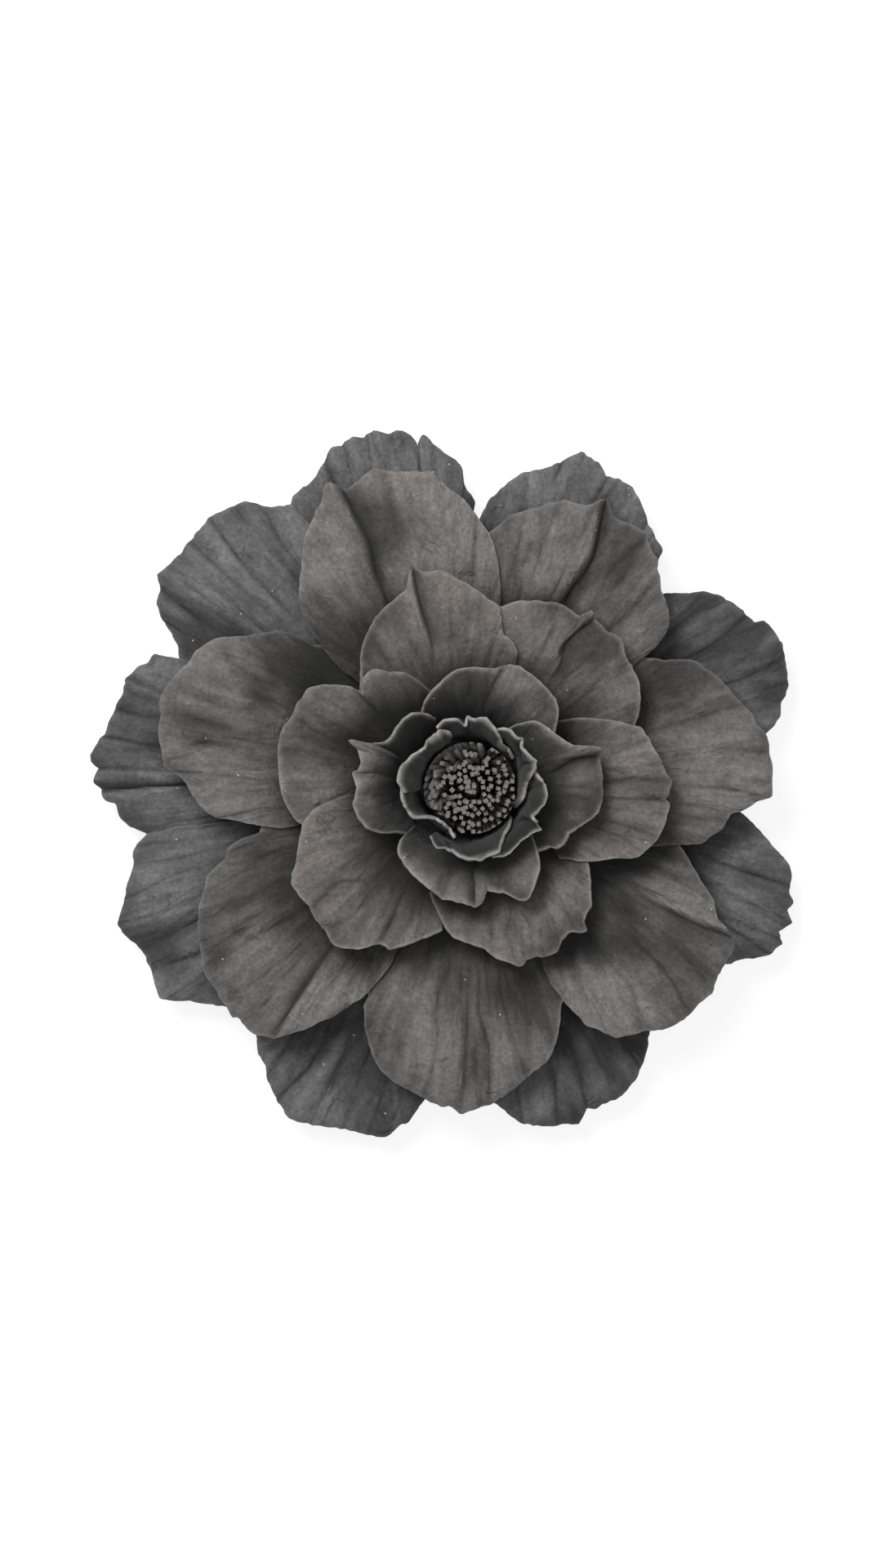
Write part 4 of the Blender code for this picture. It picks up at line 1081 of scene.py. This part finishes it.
    # White flecks of unpulped fibre, about 1 mm across and some 20 mm apart
    cells = add_node(tree, "ShaderNodeTexVoronoi", {"Vector": place, "Scale": 95.0, "Randomness": 1.0})
    near = add_node(tree, "ShaderNodeMath", {0: cells.outputs["Distance"], 1: 0.045},
                    operation="LESS_THAN").outputs[0]
    pick = add_node(tree, "ShaderNodeSeparateColor", {"Color": cells.outputs["Color"]}).outputs[0]
    picked = add_node(tree, "ShaderNodeMath", {0: pick, 1: 0.7}, operation="GREATER_THAN").outputs[0]
    fleck = add_node(tree, "ShaderNodeMath", {0: near, 1: picked}, operation="MULTIPLY").outputs[0]
    flecked = add_node(tree, "ShaderNodeMix", {0: fleck, 6: edged, 7: linear("#d2d0cc")},
                       data_type="RGBA").outputs[2]
    tree.links.new(flecked, shader.inputs["Base Color"])
    matt = add_node(tree, "ShaderNodeMapRange", {
        "Value": blotches, "To Min": 0.72, "To Max": 0.97}).outputs[0]
    tree.links.new(matt, shader.inputs["Roughness"])
    shader.inputs["Specular IOR Level"].default_value = 0.25
    shader.inputs["Sheen Weight"].default_value = 0.08
    shader.inputs["Sheen Roughness"].default_value = 0.6

    normal = add_node(tree, "ShaderNodeBump", {
        "Height": lines, "Strength": 0.5, "Distance": 0.0009}).outputs[0]
    for field, strength, distance, sunken in (
            (broad, 0.8, 0.0034, False), (blotches, 0.7, 0.0014, False), (dents, 0.8, 0.0008, True),
            (creases, 0.6, 0.0006, True), (grain, 0.4, 0.00025, False)):
        normal = add_node(tree, "ShaderNodeBump", {
            "Height": field, "Normal": normal, "Strength": strength, "Distance": distance},
            invert=sunken).outputs[0]
    tree.links.new(normal, shader.inputs["Normal"])
    return material


def fringe_paper():
    """The same sheet cut into narrow teeth, and all matt: painted light on their ends and painted shade
    down their sides.
    """
    material, tree, shader = new_material("grey_fringe_craft_paper")
    place = add_node(tree, "ShaderNodeTexCoord").outputs["Object"]
    lit_tooth_end = add_node(tree, "ShaderNodeAttribute", attribute_name="lit_tooth_end").outputs["Fac"]
    # Blotches of 3 mm, one or two to a tooth, and pulp grain drawn 0.5 mm across
    blotches, grain = (
        add_node(tree, "ShaderNodeTexNoise", {
            "Vector": place, "Scale": scale, "Detail": detail, "Roughness": roughness}).outputs["Fac"]
        for scale, detail, roughness in ((330.0, 4.0, 0.7), (1800.0, 3.0, 0.8)))
    # Painted shade on the teeth's sides and painted light on their ends
    side, end = (
        add_node(tree, "ShaderNodeMix", {0: blotches, 6: linear(low), 7: linear(high)},
                 data_type="RGBA").outputs[2]
        for low, high in (("#504e4b", "#6b6865"), ("#64615e", "#878480")))
    colour = add_node(tree, "ShaderNodeMix", {0: lit_tooth_end, 6: side, 7: end}, data_type="RGBA").outputs[2]
    tree.links.new(colour, shader.inputs["Base Color"])
    matt = add_node(tree, "ShaderNodeMapRange", {
        "Value": blotches, "To Min": 0.72, "To Max": 0.97}).outputs[0]
    tree.links.new(matt, shader.inputs["Roughness"])
    shader.inputs["Specular IOR Level"].default_value = 0.25
    soft = add_node(tree, "ShaderNodeBump", {
        "Height": blotches, "Strength": 0.6, "Distance": 0.0006}).outputs[0]
    fine = add_node(tree, "ShaderNodeBump", {
        "Height": grain, "Normal": soft, "Strength": 0.4, "Distance": 0.0002}).outputs[0]
    tree.links.new(fine, shader.inputs["Normal"])
    return material


def backing_card_paper():
    """Dense black mounting card, calendered smooth, with a faint fibre and dull handling marks."""
    material, tree, shader = new_material("black_mounting_card")
    place = add_node(tree, "ShaderNodeTexCoord").outputs["Object"]
    # Fibre drawn 1 mm across so that it shows, and marks 17 mm across
    fibre, marks = (
        add_node(tree, "ShaderNodeTexNoise", {
            "Vector": place, "Scale": scale, "Detail": detail, "Roughness": roughness}).outputs["Fac"]
        for scale, detail, roughness in ((900.0, 4.0, 0.75), (60.0, 3.0, 0.6)))
    colour = add_node(tree, "ShaderNodeMix", {0: marks, 6: linear("#2a2a2b"), 7: linear("#3a3938")},
                      data_type="RGBA").outputs[2]
    tree.links.new(colour, shader.inputs["Base Color"])
    dull = add_node(tree, "ShaderNodeMapRange", {"Value": marks, "To Min": 0.6, "To Max": 0.9}).outputs[0]
    tree.links.new(dull, shader.inputs["Roughness"])
    shader.inputs["Specular IOR Level"].default_value = 0.3
    bump = add_node(tree, "ShaderNodeBump", {"Height": fibre, "Strength": 0.3, "Distance": 0.0001}).outputs[0]
    tree.links.new(bump, shader.inputs["Normal"])
    return material


def show_white(tree, strengths, socket):
    """Links a strength: the first for light that falls on things, the second for what is seen."""
    path = add_node(tree, "ShaderNodeLightPath").outputs
    seen = path["Is Camera Ray"]
    for ray in ("Is Glossy Ray", "Is Transmission Ray"):
        seen = add_node(tree, "ShaderNodeMath", {0: seen, 1: path[ray]}, operation="MAXIMUM").outputs[0]
    raised = add_node(tree, "ShaderNodeMapRange", {
        "Value": seen, "To Min": strengths[0], "To Max": strengths[1]})
    tree.links.new(raised.outputs[0], socket)


def make_floor():
    """White to the eye, but grey to light, so that it throws little up under the petals."""
    deselect_all()
    bpy.ops.mesh.primitive_plane_add(size=6.0, location=(0, 0, -0.5 * MM))
    floor = bpy.context.object
    floor.name = "pale_floor"
    material, tree, shader = new_material("white_studio_floor")
    shader.inputs["Base Color"].default_value = (0.25, 0.25, 0.25, 1.0)
    shader.inputs["Roughness"].default_value = 0.9
    shader.inputs["Specular IOR Level"].default_value = 0.0
    shader.inputs["Emission Color"].default_value = WHITE
    show_white(tree, (0.0, FLOOR_GLOW), shader.inputs["Emission Strength"])
    floor.data.materials.append(material)


def make_world():
    world = bpy.data.worlds.new("studio")
    bpy.context.scene.world = world
    world.use_nodes = True
    background = world.node_tree.nodes["Background"]
    background.inputs["Color"].default_value = WHITE
    show_white(world.node_tree, (SKY_FILL, 1.0), background.inputs["Strength"])


def add_lamp(name, location, size, power):
    """A round area lamp that looks at the flower; its place and size are in metres."""
    lamp = bpy.data.lights.new(name, "AREA")
    lamp.shape = "DISK"
    lamp.size = size
    lamp.energy = power
    obj = bpy.data.objects.new(name, lamp)
    obj.location = location
    bpy.context.scene.collection.objects.link(obj)
    x, y, z = location
    down = math.atan2(math.hypot(x, y), z - MIDDLE_HEIGHT)
    obj.rotation_euler = (down, 0.0, math.atan2(-y, -x) - math.pi / 2)


def make_camera():
    """Straight above the flower, with the frame's long side spanning VIEW_SPAN at the middle height."""
    camera = bpy.data.cameras.new("camera")
    camera.lens = LENS
    camera.sensor_width = SENSOR
    camera.sensor_fit = "AUTO"
    obj = bpy.data.objects.new("camera", camera)
    obj.location = (*VIEW_MIDDLE, MIDDLE_HEIGHT + VIEW_SPAN * LENS / SENSOR)
    bpy.context.scene.collection.objects.link(obj)
    bpy.context.scene.camera = obj


def build():
    bpy.context.scene.view_settings.view_transform = "Standard"
    make_camera()
    paper = charcoal_paper()
    fringe = fringe_paper()
    papers = {ring: [make_petal(ring, number, petal, paper)
                     for number, petal in enumerate(PETALS[ring], start=1)] for ring in RINGS}
    make_bead(paper, papers[THIRD_RING][4:6])
    make_stamens(fringe)
    make_stamen_band(fringe)
    card_paper = backing_card_paper()
    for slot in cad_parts["backing_card"].material_slots:
        slot.material = card_paper
    make_floor()
    make_world()
    add_lamp("soft_key", (-0.7, 0.95, 2.1), 1.1, 43.0)
    add_lamp("soft_top", (0.25, -0.15, 2.8), 1.4, 19.0)


build()
